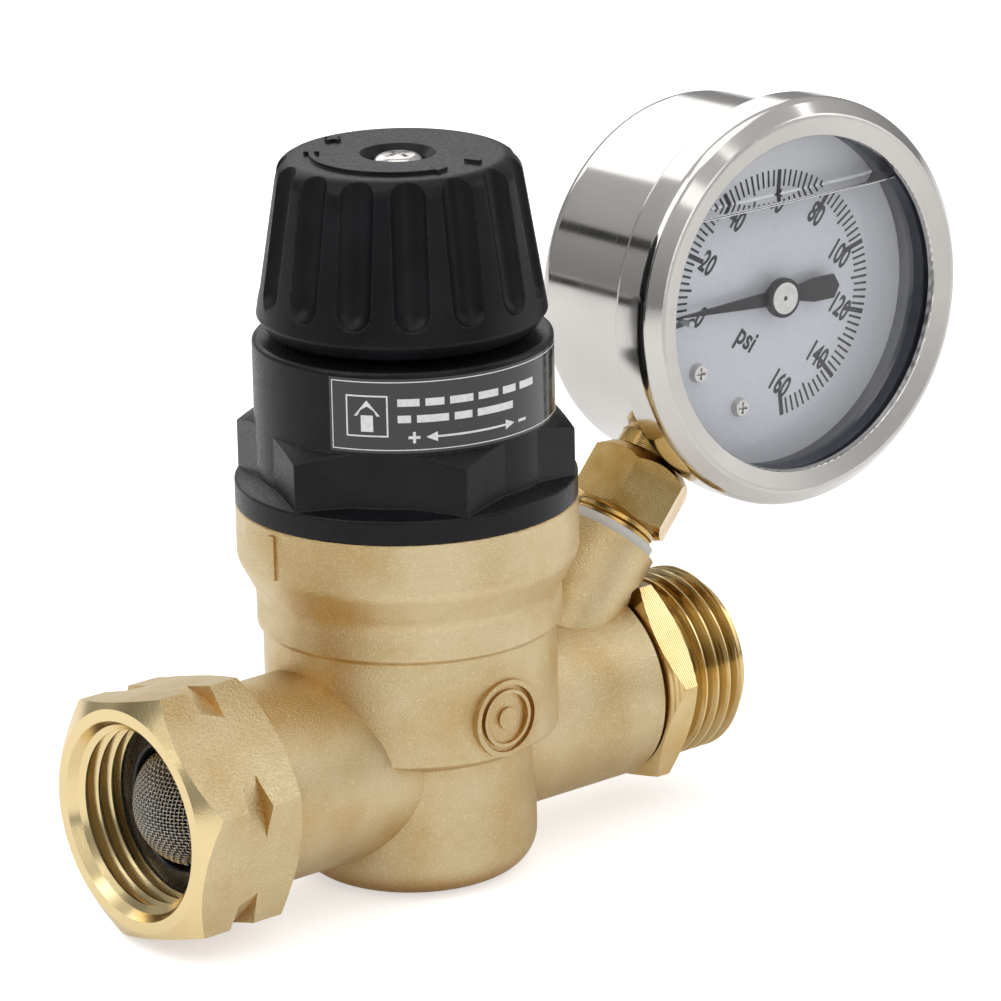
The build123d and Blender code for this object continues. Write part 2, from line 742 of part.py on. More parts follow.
# Gauge, on its own plane: x to the dial's right, y up the stem, z out of the face
washer_plane = stem_plane.offset(STEM_BASE)
with BuildPart() as gauge_washer:
    with BuildSketch(washer_plane):
        Circle(WASHER_R)
        Circle(SOCKET_SHANK_R + 0.1, mode=Mode.SUBTRACT)
    extrude(amount=WASHER_THICKNESS)
save(gauge_washer, "gauge_washer")

hex_foot = WASHER_THICKNESS + SOCKET_COLLAR
hex_head = hex_foot + SOCKET_HEX_LENGTH
with BuildPart() as gauge_socket:
    with BuildSketch(washer_plane.offset(hex_foot)):
        RegularPolygon(radius=across_flats(SOCKET_HEX_AF), side_count=6, rotation=SOCKET_HEX_TURN)
    extrude(amount=SOCKET_HEX_LENGTH)
    with BuildSketch(stem_section):
        with BuildLine():
            outline(
                (0, STEM_BASE + hex_foot),
                (6.4, STEM_BASE + hex_foot),
                (across_flats(SOCKET_HEX_AF) + 0.1, STEM_BASE + hex_foot + 1.0),
                (across_flats(SOCKET_HEX_AF) + 0.1, STEM_BASE + hex_head - 1.9),
                (6.0, STEM_BASE + hex_head),
                (0, STEM_BASE + hex_head),
            )
        make_face()
    revolve(axis=stem_axis, mode=Mode.INTERSECT)
    with BuildSketch(stem_section):
        with BuildLine():
            outline(
                (0, STEM_BASE - SOCKET_DEPTH + 0.4),
                (SOCKET_SHANK_R - 0.6, STEM_BASE - SOCKET_DEPTH + 0.4),
                (SOCKET_SHANK_R - 0.05, STEM_BASE - SOCKET_DEPTH + 1.0),
                (SOCKET_SHANK_R - 0.05, STEM_BASE + WASHER_THICKNESS),
                (6.2, STEM_BASE + WASHER_THICKNESS),
                (6.2, STEM_BASE + WASHER_THICKNESS + 0.6),
                (5.9, STEM_BASE + WASHER_THICKNESS + 0.8),
                (6.2, STEM_BASE + WASHER_THICKNESS + 1.0),
                (6.2, STEM_BASE + hex_foot),
                (5.8, STEM_BASE + hex_head),
                (SOCKET_NECK_R, STEM_BASE + hex_head + 0.4),
                (SOCKET_NECK_R, STEM_BASE + STEM_TO_DIAL - 22.0),
                (0, STEM_BASE + STEM_TO_DIAL - 22.0),
            )
        make_face()
    revolve(axis=stem_axis)
    with BuildSketch(gauge.offset(BLOCK_BACK)):
        with Locations((0, (BLOCK_FOOT + BLOCK_HEAD) / 2)):
            Rectangle(2 * BLOCK_HALF, BLOCK_HEAD - BLOCK_FOOT)
    extrude(amount=DIAL_BACK - BLOCK_BACK)
    with BuildSketch(gauge.offset(BLOCK_BACK)):
        with Locations((0, (BLOCK_HEAD + TONGUE_HEAD) / 2)):
            Rectangle(2 * BLOCK_HALF, TONGUE_HEAD - BLOCK_HEAD)
    extrude(amount=PLATE_BACK - BLOCK_BACK)
    with BuildSketch(stem_plane.offset(STEM_BASE - SOCKET_DEPTH)):
        Circle(GAUGE_PORT_R)
    extrude(amount=SOCKET_DEPTH + STEM_TO_DIAL - 19.0, mode=Mode.SUBTRACT)
    with BuildSketch(gauge.offset(DIAL_BACK)):
        with Locations(*SCREW_SPOTS):
            Circle(DIAL_SCREW_R)
    extrude(amount=-3.0, mode=Mode.SUBTRACT)
save(gauge_socket, "gauge_socket")

gauge_section = Plane(origin=dial_centre, x_dir=gauge.x_dir, z_dir=-gauge.y_dir)
gauge_axis = Axis(dial_centre, gauge.z_dir)
with BuildPart() as gauge_case:
    with BuildSketch(gauge_section):
        with BuildLine():
            outline(
                (0, CASE_BACK),
                (CASE_R, CASE_BACK, 3.0),
                (CASE_R, CASE_FRONT),
                (CASE_R - CASE_WALL, CASE_FRONT),
                (CASE_R - CASE_WALL, CASE_BACK + CASE_WALL, 3.0 - CASE_WALL),
                (0, CASE_BACK + CASE_WALL),
            )
        make_face()
    revolve(axis=gauge_axis)
    with BuildSketch(stem_plane.offset(STEM_BASE + STEM_TO_DIAL - CASE_R - 1)):
        Circle(SOCKET_NECK_R + 0.05)
    extrude(amount=6, mode=Mode.SUBTRACT)
    with BuildSketch(stem_plane.offset(STEM_BASE + STEM_TO_DIAL + CASE_R + 1)):
        with Locations((PLUG_FORWARD, 0)):
            Circle(PLUG_R)
    extrude(amount=-6, mode=Mode.SUBTRACT)
save(gauge_case, "gauge_case")

plug_base = STEM_BASE + STEM_TO_DIAL + CASE_R - 1.8
with BuildPart() as fill_plug:
    with BuildSketch(stem_plane.offset(plug_base)):
        with Locations((PLUG_FORWARD, 0)):
            Circle(PLUG_R - 0.05)
    extrude(amount=1.9)
    with BuildSketch(stem_plane.offset(plug_base + 1.9)):
        with Locations((PLUG_FORWARD, 0)):
            Circle(PLUG_R + 1.1)
    extrude(amount=1.3)
    fillet(fill_plug.edges().filter_by(GeomType.CIRCLE).sort_by(stem_axis)[-1], 0.6)
save(fill_plug, "fill_plug")

with BuildPart() as bezel:
    with BuildSketch(gauge_section):
        with BuildLine():
            outline(
                (CASE_R + 0.05, BEZEL_BACK),
                (BEZEL_R - 0.6, BEZEL_BACK, 0.3),
                (BEZEL_R, BEZEL_BACK + 1.0, 0.4),
                (BEZEL_R, BEZEL_FRONT - BEZEL_ROUNDING, 2.0),
                (BEZEL_R - BEZEL_ROUNDING, BEZEL_FRONT, 0.8),
                (WINDOW_R, BEZEL_FRONT - 1.0, 0.3),
                (WINDOW_R, WINDOW_FRONT),
                (CASE_R + 0.05, WINDOW_FRONT),
            )
        make_face()
    revolve(axis=gauge_axis)
save(bezel, "bezel")

with BuildPart() as window:
    with BuildSketch(gauge.offset(WINDOW_FRONT)):
        Circle(CASE_R - 0.1)
    extrude(amount=-WINDOW_THICKNESS)
save(window, "window")

with BuildPart() as window_gasket:
    with BuildSketch(gauge_section):
        with BuildLine():
            outline(
                (WINDOW_R + 0.4, DIAL_FACE + 0.1),
                (CASE_R - CASE_WALL - 0.05, DIAL_FACE + 0.1),
                (CASE_R - CASE_WALL - 0.05, CASE_FRONT),
                (CASE_R - 0.1, CASE_FRONT),
                (CASE_R - 0.1, WINDOW_FRONT - WINDOW_THICKNESS),
                (WINDOW_R + 0.4, WINDOW_FRONT - WINDOW_THICKNESS),
            )
        make_face()
    revolve(axis=gauge_axis)
save(window_gasket, "window_gasket")

with BuildPart() as dial:
    with BuildSketch(gauge.offset(DIAL_BACK)):
        Circle(DIAL_R)
        Circle(ARBOR_R + 0.5, mode=Mode.SUBTRACT)
        with Locations(*SCREW_SPOTS):
            Circle(DIAL_SCREW_R, mode=Mode.SUBTRACT)
        with PolarLocations(STOP_PIN_OUT, 1, start_angle=90 - STOP_BEARING):
            Circle(STOP_PIN_R, mode=Mode.SUBTRACT)
    extrude(amount=DIAL_FACE - DIAL_BACK)
save(dial, "dial")

with BuildPart() as dial_screws:
    for spot in SCREW_SPOTS:
        with BuildSketch(gauge.offset(DIAL_BACK - 2.6)):
            with Locations(spot):
                Circle(DIAL_SCREW_R - 0.03)
        extrude(amount=DIAL_FACE - DIAL_BACK + 2.6)
        with BuildSketch(gauge.offset(DIAL_FACE)):
            with Locations(spot):
                Circle(DIAL_SCREW_HEAD_R)
        extrude(amount=0.9, taper=18)
        with BuildSketch(gauge.offset(DIAL_FACE + 0.9)):
            with Locations(spot):
                Rectangle(1.7, 0.4, rotation=35)
                Rectangle(1.7, 0.4, rotation=125)
        extrude(amount=-0.5, mode=Mode.SUBTRACT)
save(dial_screws, "dial_screws")

with BuildPart() as stop_pin:
    with BuildSketch(gauge.offset(DIAL_BACK)):
        with PolarLocations(STOP_PIN_OUT, 1, start_angle=90 - STOP_BEARING):
            Circle(STOP_PIN_R - 0.03)
    extrude(amount=POINTER_FRONT + 0.4 - DIAL_BACK)
save(stop_pin, "stop_pin")

# Bourdon tube: a flat-sided C from the socket's block round to its closed tip
with BuildPart() as bourdon_tube:
    with BuildLine(gauge.offset(TUBE_MIDDLE)):
        curl = CenterArc((0, 0), TUBE_R, TUBE_FROM, -TUBE_ARC)
    with BuildSketch(Plane(origin=curl @ 0, x_dir=gauge.z_dir, z_dir=curl % 0)):
        RectangleRounded(7.0, 2.6, 1.2)
        RectangleRounded(5.8, 1.4, 0.6, mode=Mode.SUBTRACT)
    sweep()
save(bourdon_tube, "bourdon_tube")

tip_bearing = TUBE_FROM - TUBE_ARC
tip_plane = turned(gauge.offset(TUBE_MIDDLE - 3.5), tip_bearing)
with BuildPart() as tube_tip:
    with BuildSketch(tip_plane):
        with Locations((TUBE_R, -2.1)):
            Rectangle(3.0, 4.0)
        with Locations((TUBE_R - 2.4, -2.4)):
            Rectangle(3.4, 2.6)
    extrude(amount=6.6)
    with BuildSketch(turned(gauge.offset(TUBE_MIDDLE + 3.0), tip_bearing)):
        with Locations((TUBE_R - 3.2, -2.4)):
            Circle(0.5)
    extrude(amount=LINK_BACK - 0.3 - TUBE_MIDDLE - 3.0)
save(tube_tip, "tube_tip")

pivot_at = (cos(radians(SECTOR_BEARING)) * GEAR_CENTRES, sin(radians(SECTOR_BEARING)) * GEAR_CENTRES)


def movement_plate(name, back):
    """One plate of the movement, with holes for the two arbors."""
    with BuildPart() as plate:
        with BuildSketch(gauge.offset(back)):
            with Locations((PLATE_CENTRE)):
                RectangleRounded(PLATE_WIDTH, PLATE_HEIGHT, 2.0)
            Circle(ARBOR_R + RUNNING_GAP, mode=Mode.SUBTRACT)
            with Locations(pivot_at):
                Circle(ARBOR_R + RUNNING_GAP, mode=Mode.SUBTRACT)
        extrude(amount=PLATE_THICKNESS)
    save(plate, name)


movement_plate("movement_back_plate", PLATE_BACK)
movement_plate("movement_front_plate", PLATE_FRONT)

with BuildPart() as movement_pillars:
    with BuildSketch(gauge.offset(PLATE_BACK + PLATE_THICKNESS)):
        with Locations(*PILLAR_SPOTS):
            Circle(1.2)
    extrude(amount=PLATE_FRONT - PLATE_BACK - PLATE_THICKNESS)
save(movement_pillars, "movement_pillars")


def gear_teeth(teeth, first, last):
    """Corners of straight-sided teeth from the first to the last, counted from a tooth on the x axis."""
    pitch_r = GEAR_MODULE * teeth / 2
    corners = []
    for tooth in range(first, last + 1):
        middle = 2 * pi * tooth / teeth
        for radius, side in ((-1.2, -1), (0.85, -1), (0.85, 1), (-1.2, 1)):
            reach = pitch_r + radius * GEAR_MODULE
            half = (pi * GEAR_MODULE / 2 - GEAR_BACKLASH) / 2 - radius * GEAR_MODULE * TOOTH_SLOPE
            angle = middle + side * half / reach
            corners.append((reach * cos(angle), reach * sin(angle)))
    return corners


# The pinion has a gap towards the sector, and the sector a tooth towards the pinion
with BuildPart() as pinion:
    with BuildSketch(turned(gauge.offset(GEAR_BACK), SECTOR_BEARING + 180 / PINION_TEETH)):
        Polygon(*gear_teeth(PINION_TEETH, 0, PINION_TEETH - 1), align=None)
    extrude(amount=GEAR_THICKNESS)
    with BuildSketch(gauge.offset(PLATE_BACK)):
        Circle(ARBOR_R)
    extrude(amount=POINTER_FRONT - PLATE_BACK)
save(pinion, "pinion")

sector_plane = Plane(
    origin=gauge.from_local_coords((pivot_at[0], pivot_at[1], 0)),
    x_dir=gauge.x_dir,
    z_dir=gauge.z_dir,
)
with BuildPart() as sector_gear:
    with BuildSketch(turned(sector_plane.offset(GEAR_BACK), SECTOR_BEARING + 180)):
        Polygon((0, 0), *gear_teeth(SECTOR_TEETH, *SECTOR_SPAN), align=None)
        Circle(2.2)
    extrude(amount=GEAR_THICKNESS)
    with BuildSketch(turned(sector_plane.offset(GEAR_BACK), SECTOR_BEARING)):
        with Locations((TAIL_LENGTH / 2, 0)):
            SlotCenterToCenter(TAIL_LENGTH, 2.0)
    extrude(amount=GEAR_THICKNESS)
    with BuildSketch(turned(sector_plane.offset(GEAR_BACK + GEAR_THICKNESS), SECTOR_BEARING)):
        with Locations((TAIL_LENGTH, 0)):
            Circle(0.45)
    extrude(amount=LINK_BACK + LINK_THICKNESS + 0.2 - GEAR_BACK - GEAR_THICKNESS)
    with BuildSketch(sector_plane.offset(PLATE_BACK)):
        Circle(ARBOR_R)
    extrude(amount=PLATE_FRONT + PLATE_THICKNESS - PLATE_BACK)
save(sector_gear, "sector_gear")

tail_end = (
    pivot_at[0] + TAIL_LENGTH * cos(radians(SECTOR_BEARING)),
    pivot_at[1] + TAIL_LENGTH * sin(radians(SECTOR_BEARING)),
)
tip_angle = radians(tip_bearing)
tip_pin = (
    (TUBE_R - 3.2) * cos(tip_angle) + 2.4 * sin(tip_angle),
    (TUBE_R - 3.2) * sin(tip_angle) - 2.4 * cos(tip_angle),
)
with BuildPart() as link:
    with BuildSketch(gauge.offset(LINK_BACK)):
        SlotCenterPoint(
            ((tail_end[0] + tip_pin[0]) / 2, (tail_end[1] + tip_pin[1]) / 2),
            tip_pin,
            1.9,
        )
        with Locations(tail_end):
            Circle(0.5, mode=Mode.SUBTRACT)
        with Locations(tip_pin):
            Circle(0.8, mode=Mode.SUBTRACT)
    extrude(amount=LINK_THICKNESS)
save(link, "link")

# Pointer, resting just off the stop pin
with BuildPart() as pointer:
    with BuildSketch(turned(gauge.offset(POINTER_BACK), 90 - POINTER_REST)):
        with BuildLine():
            outline(
                (POINTER_REACH, -0.12),
                (POINTER_REACH, 0.12),
                (3.0, 1.0),
                (-3.0, 1.0),
                (-6.4, 1.75),
                (-10.2, 1.75),
                (-11.2, 0),
                (-10.2, -1.75),
                (-6.4, -1.75),
                (-3.0, -1.0),
                (3.0, -1.0),
            )
        make_face()
        Circle(ARBOR_R, mode=Mode.SUBTRACT)
    extrude(amount=POINTER_FRONT - POINTER_BACK)
save(pointer, "pointer")

with BuildPart() as pointer_hub:
    with BuildSketch(gauge.offset(POINTER_FRONT)):
        Circle(2.9)
    extrude(amount=1.1)
    fillet(pointer_hub.edges().filter_by(GeomType.CIRCLE).sort_by(gauge_axis)[-1], 0.3)
save(pointer_hub, "pointer_hub")
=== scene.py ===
"""A pressure reducing valve with an adjusting knob and a liquid-filled gauge, dressed for rendering.

Every length is in millimetres and is turned into metres by MM. The CAD nodes keep their shapes and
get materials; the printed dial, the label's print, the strainer's weave and the glycerine are made here.
"""

import json
from math import asin, atan2, ceil, cos, pi, radians, sin, sqrt, tau

import bpy
from mathutils import Matrix, Vector


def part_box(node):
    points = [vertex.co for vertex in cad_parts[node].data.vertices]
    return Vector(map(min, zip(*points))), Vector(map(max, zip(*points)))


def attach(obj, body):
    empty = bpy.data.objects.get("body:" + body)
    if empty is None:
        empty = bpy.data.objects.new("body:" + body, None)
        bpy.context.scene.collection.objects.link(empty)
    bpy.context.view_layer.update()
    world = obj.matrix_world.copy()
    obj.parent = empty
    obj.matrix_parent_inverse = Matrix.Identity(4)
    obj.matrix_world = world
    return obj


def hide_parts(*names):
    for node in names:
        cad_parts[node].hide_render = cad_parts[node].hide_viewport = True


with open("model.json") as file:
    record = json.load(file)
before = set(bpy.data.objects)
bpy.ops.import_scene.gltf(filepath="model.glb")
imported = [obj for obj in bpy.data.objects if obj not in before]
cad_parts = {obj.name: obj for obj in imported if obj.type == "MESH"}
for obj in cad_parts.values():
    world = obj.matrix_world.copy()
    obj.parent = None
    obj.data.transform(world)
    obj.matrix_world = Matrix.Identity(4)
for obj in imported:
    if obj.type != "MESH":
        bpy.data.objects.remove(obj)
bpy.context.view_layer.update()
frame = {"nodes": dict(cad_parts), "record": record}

MM = 0.001
NODES = frame["nodes"]
JOINTS = {joint["name"]: joint for joint in frame["record"]["behaviour"]["joints"]}

# ---- the gauge's own frame, from the pointer's hinge: x and y across the dial, z out of its face ----
GAUGE_CENTRE = Vector(JOINTS["pointer_turn"]["pos_m"])
GAUGE_OUT = -Vector(JOINTS["pointer_turn"]["axis"]).normalized()
STEM_FOOT = Vector((17.9, 0.0, 18.5)) * MM
GAUGE_UP = (GAUGE_CENTRE - STEM_FOOT).normalized()
GAUGE_RIGHT = GAUGE_UP.cross(GAUGE_OUT).normalized()
GAUGE = Matrix(
    [(*(axis[i] for axis in (GAUGE_RIGHT, GAUGE_UP, GAUGE_OUT)), GAUGE_CENTRE[i]) for i in range(3)]
    + [(0, 0, 0, 1)]
)

# ---- camera ----
AZIMUTH = radians(-40.0)
ELEVATION = radians(17.5)
ROLL = radians(-1.2)
DISTANCE = 850.0
LENS = 217.8
SENSOR = 36.0
NEAR = 0.01
FAR = 20.0
FLOW_HEIGHT = 18.5
AIM_RIGHT = -12.28
AIM_UP = -33.06

# ---- the dial's print ----
DIAL_FACE = 6.0
PRINT_LIFT = 0.04
SCALE_SWEEP = 270.0
SCALE_TOP = 160
TICK_OUTER = 18.2
TICK_EVERY = 2
TICK_KINDS = ((20, 3.8, 0.72), (10, 3.0, 0.36), (TICK_EVERY, 2.4, 0.34))
NUMBER_EVERY = 20
NUMBER_R = 13.5
NUMBER_SIZE = 4.5
NUMBER_SQUEEZE = 0.58
NUMBER_WEIGHT = 0.13
UNIT_DROP = 7.4
UNIT_SIZE = 4.4
UNIT_SQUEEZE = 0.78
UNIT_WEIGHT = 0.1

# ---- the glycerine ----
LIQUID_R = 24.9
LIQUID_BACK = 6.06
LIQUID_FRONT = 11.12
LIQUID_LEVEL = 14.5
LIQUID_SIDES = 96
LIQUID_CLIMB = 0.35

# ---- where the body's brass is cut and where it is rough, along x and round the flow ----
INLET_BORE_R = 14.1
INLET_BORE_END = -33.2
CUT_FACING = -0.25
CUT_END = -40.0
FLATS_R = 15.8
FLATS_END = -33.5

# ---- the strainer ----
SCREEN_R = 8.8
SCREEN_RISE = 7.2
SCREEN_RIM_X = -39.9
SCREEN_MARGIN = 0.25
SHORTEST_OFFSET = 0.4
WIRE_PITCH = 0.5
WIRE_R = 0.115
WIRE_SIDES = 5
WEAVE_DEPTH = 2.2
WEAVE_WAVE = 0.95


def gauge_point(x, y, z):
    """A point of the gauge's own frame, in millimetres, as a point of the scene."""
    return GAUGE @ Vector((x * MM, y * MM, z * MM))


# =============================== materials ===============================

PALE_BRASS = (0.72, 0.585, 0.35)
DEEP_BRASS = (0.61, 0.44, 0.21)
BRASS_CORNER_SHADE = (0.50, 0.27, 0.06)
# painted shade: the colour the brass is darkened to in its corners and creases
BRASS_FLECK = (0.95, 0.84, 0.58)
BRASS_CUT = (0.88, 0.70, 0.38)
PLATE_PALE = (0.84, 0.66, 0.34)
PLATE_DEEP = (0.74, 0.54, 0.24)
STEEL_PALE = (0.70, 0.675, 0.645)
STEEL_DEEP = (0.61, 0.59, 0.565)
HUB_PALE = (0.80, 0.79, 0.74)
HUB_DEEP = (0.70, 0.69, 0.66)
HUB_DARK = (0.02, 0.02, 0.022)
BLACK = (0.0045, 0.0045, 0.0058)
# the grey that the black plastics are painted towards along their edges
EDGE_GREY = (0.05, 0.05, 0.053)

# ---- relief and marks, in millimetres ----
BRASS_DEPTH = 0.16
RING_DEPTH = 0.02
PLASTIC_DEPTH = 0.05
FINE_DEPTH = 0.01
EDGE_R = 0.35
HUB_DISC_R = 2.3
HUB_DOT_R = 0.34


class Paint:
    """A node material under construction. Sockets and numbers are both accepted as inputs."""

    def __init__(self, name):
        self.material = bpy.data.materials.new(name)
        self.material.use_nodes = True
        self.tree = self.material.node_tree
        self.shader = self.tree.nodes["Principled BSDF"]
        self.output = self.tree.nodes["Material Output"]
        self.place = self.tree.nodes.new("ShaderNodeTexCoord").outputs["Object"]

    def put(self, socket, value):
        """Links a socket, or sets a plain number, vector or colour."""
        if isinstance(value, bpy.types.NodeSocket):
            self.tree.links.new(value, socket)
        else:
            socket.default_value = value

    def node(self, kind, **inputs):
        """A new node with some of its inputs filled in; a name with _ for spaces."""
        made = self.tree.nodes.new(kind)
        for name, value in inputs.items():
            self.put(made.inputs[name.replace("_", " ")], value)
        return made

    def math(self, operation, *values):
        """The result of a math node."""
        made = self.tree.nodes.new("ShaderNodeMath")
        made.operation = operation
        for socket, value in zip(made.inputs, values):
            self.put(socket, value)
        return made.outputs[0]

    def noise(self, scale, detail=3.0, rough=0.5, stretch=None):
        """Noise from 0 to 1 with the given number of grains per metre."""
        where = self.place
        if stretch is not None:
            mapping = self.node("ShaderNodeMapping", Vector=where)
            mapping.inputs["Scale"].default_value = stretch
            where = mapping.outputs[0]
        made = self.node("ShaderNodeTexNoise", Vector=where, Scale=scale, Detail=detail, Roughness=rough)
        return made.outputs[0]

    def ramp(self, value, low, high, start=0.0, end=1.0):
        """The value run from low..high on to start..end, smoothly, and held outside it."""
        made = self.node("ShaderNodeMapRange", Value=value)
        made.interpolation_type = "SMOOTHSTEP"
        made.inputs[1].default_value = low
        made.inputs[2].default_value = high
        self.put(made.inputs[3], start)
        self.put(made.inputs[4], end)
        return made.outputs[0]

    def mix(self, share, first, second):
        """A blend of two colours."""
        made = self.tree.nodes.new("ShaderNodeMix")
        made.data_type = "RGBA"
        self.put(made.inputs[0], share)
        for socket, value in ((made.inputs[6], first), (made.inputs[7], second)):
            self.put(socket, value if isinstance(value, bpy.types.NodeSocket) else (*value, 1.0))
        return made.outputs[2]

    def blend(self, share, first, second):
        """A blend of two numbers."""
        return self.ramp(share, 0.0, 1.0, first, second)

    def parts(self, socket):
        """The X, Y and Z of a vector."""
        return self.node("ShaderNodeSeparateXYZ", Vector=socket).outputs

    def bump(self, height, strength, reach, under=None):
        """Bump from a 0..1 height; reach is the relief at 1, in millimetres."""
        made = self.node("ShaderNodeBump", Height=height, Strength=strength)
        made.inputs["Distance"].default_value = reach * MM
        if under is not None:
            self.put(made.inputs["Normal"], under)
        return made.outputs[0]

    def finish(self, **inputs):
        """Fills in the Principled shader and gives back the material."""
        for name, value in inputs.items():
            if name == "Base_Color" and not isinstance(value, bpy.types.NodeSocket):
                value = (*value, 1.0)
            self.put(self.shader.inputs[name.replace("_", " ")], value)
        return self.material


def brass(name, pale, deep, rough, grain=0.0, grain_scale=3000.0, machined=None, coarse=None):
    """Brass whose colour drifts between two tones, with painted shade: darker and more orange in its
    corners and creases.

    machined and coarse each build a 0..1 mask, for where it is cut bright and where it is lumpy.
    """
    p = Paint(name)
    drift = p.noise(70.0, 4.0)
    tone = p.mix(p.ramp(drift, 0.35, 0.7), pale, deep)
    # painted shade: ambient occlusion darkens the brass towards a deep orange in corners and creases
    corner_shade = p.node("ShaderNodeAmbientOcclusion", Distance=5.0 * MM)
    corner_shade.samples = 6
    tone = p.mix(p.ramp(corner_shade.outputs["AO"], 0.35, 0.95, 0.75, 0.0), tone, BRASS_CORNER_SHADE)
    fleck = p.noise(grain_scale, 2.0, 0.7)
    tone = p.mix(p.ramp(fleck, 0.5, 0.75, 0.0, 0.45), tone, BRASS_FLECK)
    roughness = p.ramp(p.noise(420.0), 0.3, 0.7, rough - 0.05, rough + 0.07)
    relief = fleck
    strength = grain
    if coarse is not None:
        mask = coarse(p)
        lumps = p.noise(2300.0, 2.0, 0.7)
        relief = p.blend(mask, relief, lumps)
        strength = p.blend(mask, grain, 1.0)
    if machined is not None:
        mask = machined(p)
        tone = p.mix(mask, tone, BRASS_CUT)
        roughness = p.blend(mask, roughness, 0.2)
        strength = p.blend(mask, strength, 0.06)
    normal = p.bump(relief, strength, BRASS_DEPTH)
    return p.finish(Base_Color=tone, Metallic=1.0, Roughness=roughness, Normal=normal)


def round_the_flow(p):
    """The place along the flow's axis and the distance from that axis."""
    x, y, z = p.parts(p.place)
    up = p.math("SUBTRACT", z, FLOW_HEIGHT * MM)
    square = p.math("ADD", p.math("MULTIPLY", y, y), p.math("MULTIPLY", up, up))
    return x, p.math("SQRT", square)


def inlet_machining(p):
    """1 on the inlet's cut face, chamfers and bore, and 0 on the cast skin."""
    x, radius = round_the_flow(p)
    in_bore = p.math("LESS_THAN", radius, INLET_BORE_R * MM)
    inside = p.math("MULTIPLY", in_bore, p.math("LESS_THAN", x, INLET_BORE_END * MM))
    facing = p.parts(p.tree.nodes["Texture Coordinate"].outputs["Normal"])[0]
    cut = p.math("LESS_THAN", facing, CUT_FACING)
    end = p.math("MULTIPLY", cut, p.math("LESS_THAN", x, CUT_END * MM))
    return p.math("MAXIMUM", inside, end)


def coarse_flats(p):
    """1 on the inlet hexagon's rough flats."""
    x, radius = round_the_flow(p)
    outside = p.math("GREATER_THAN", radius, FLATS_R * MM)
    return p.math("MULTIPLY", outside, p.math("LESS_THAN", x, FLATS_END * MM))


def turned_metal(name, tone, deep, rough, axis_at, axis, pitch=0.35):
    """Metal with fine lathe rings round an axis, and painted shade darkening its corners and creases."""
    p = Paint(name)
    reach = p.node("ShaderNodeVectorMath", Vector=p.place)
    reach.operation = "SUBTRACT"
    reach.inputs[1].default_value = axis_at
    along = p.node("ShaderNodeVectorMath", Vector=reach.outputs[0])
    along.operation = "DOT_PRODUCT"
    along.inputs[1].default_value = axis
    wobble = p.noise(900.0, 2.0)
    phase = p.math("ADD", p.math("MULTIPLY", along.outputs["Value"], tau / (pitch * MM)), wobble)
    rings = p.math("ADD", p.math("MULTIPLY", p.math("SINE", phase), 0.5), 0.5)
    drift = p.noise(160.0, 3.0)
    colour = p.mix(p.ramp(drift, 0.3, 0.75), tone, deep)
    # painted shade: ambient occlusion darkens the metal in corners and creases
    corner_shade = p.node("ShaderNodeAmbientOcclusion", Distance=3.0 * MM)
    corner_shade.samples = 6
    shade = tuple(value * 0.55 for value in deep)
    colour = p.mix(p.ramp(corner_shade.outputs["AO"], 0.3, 0.95, 0.8, 0.0), colour, shade)
    roughness = p.ramp(rings, 0.0, 1.0, rough - 0.03, rough + 0.05)
    normal = p.bump(rings, 0.5, RING_DEPTH)
    return p.finish(Base_Color=colour, Metallic=1.0, Roughness=roughness, Normal=normal)


def polished_steel(name, rough=0.09, satin=0.0):
    """Polished stainless with faint wipe marks, duller by satin where it faces out of the gauge."""
    p = Paint(name)
    haze = p.noise(40.0, 4.0)
    scuff = p.noise(700.0, 3.0, stretch=(1.0, 6.0, 0.4))
    colour = p.mix(p.ramp(haze, 0.3, 0.7), STEEL_PALE, STEEL_DEEP)
    facing = p.node("ShaderNodeVectorMath", Vector=p.tree.nodes["Texture Coordinate"].outputs["Normal"])
    facing.operation = "DOT_PRODUCT"
    facing.inputs[1].default_value = GAUGE_OUT
    dull = p.ramp(facing.outputs["Value"], 0.7, 0.97, 0.0, satin)
    wiped = p.ramp(scuff, 0.5, 0.8, 0.0, 0.05)
    roughness = p.math("ADD", p.ramp(haze, 0.3, 0.75, rough, rough + 0.06), wiped)
    roughness = p.math("ADD", roughness, dull)
    normal = p.bump(scuff, 0.12, FINE_DEPTH)
    return p.finish(Base_Color=colour, Metallic=1.0, Roughness=roughness, Normal=normal)


def moulded(name, tone, rough, grain=0.35, grain_scale=2600.0, gloss=0.5, edge_tone=None):
    """Moulded plastic or rubber with a fine texture, greyer along all its edges when an edge colour is
    given.
    """
    p = Paint(name)
    fine = p.noise(grain_scale, 3.0, 0.6)
    broad = p.noise(120.0, 3.0)
    pale = tuple(value * 1.6 + 0.002 for value in tone)
    colour = p.mix(p.ramp(broad, 0.35, 0.75), tone, pale)
    edge = p.node("ShaderNodeBevel", Radius=EDGE_R * MM)
    edge.samples = 4
    # greyer along every edge found by the bevel, speckled by the fine noise
    if edge_tone is not None:
        spread = p.node("ShaderNodeVectorMath", Vector=edge.outputs[0])
        spread.operation = "DOT_PRODUCT"
        spread.inputs[1].default_value = (0, 0, 0)
        p.put(spread.inputs[1], p.tree.nodes["Texture Coordinate"].outputs["Normal"])
        edge_mask = p.ramp(spread.outputs["Value"], 0.8, 0.995, 1.0, 0.0)
        edge_mask = p.math("MULTIPLY", edge_mask, p.ramp(fine, 0.4, 0.6))
        colour = p.mix(edge_mask, colour, edge_tone)
    roughness = p.ramp(fine, 0.25, 0.75, rough - 0.08, rough + 0.1)
    normal = p.bump(fine, grain, PLASTIC_DEPTH, under=edge.outputs[0])
    return p.finish(
        Base_Color=colour, Roughness=roughness, Normal=normal, Specular_IOR_Level=gloss
    )


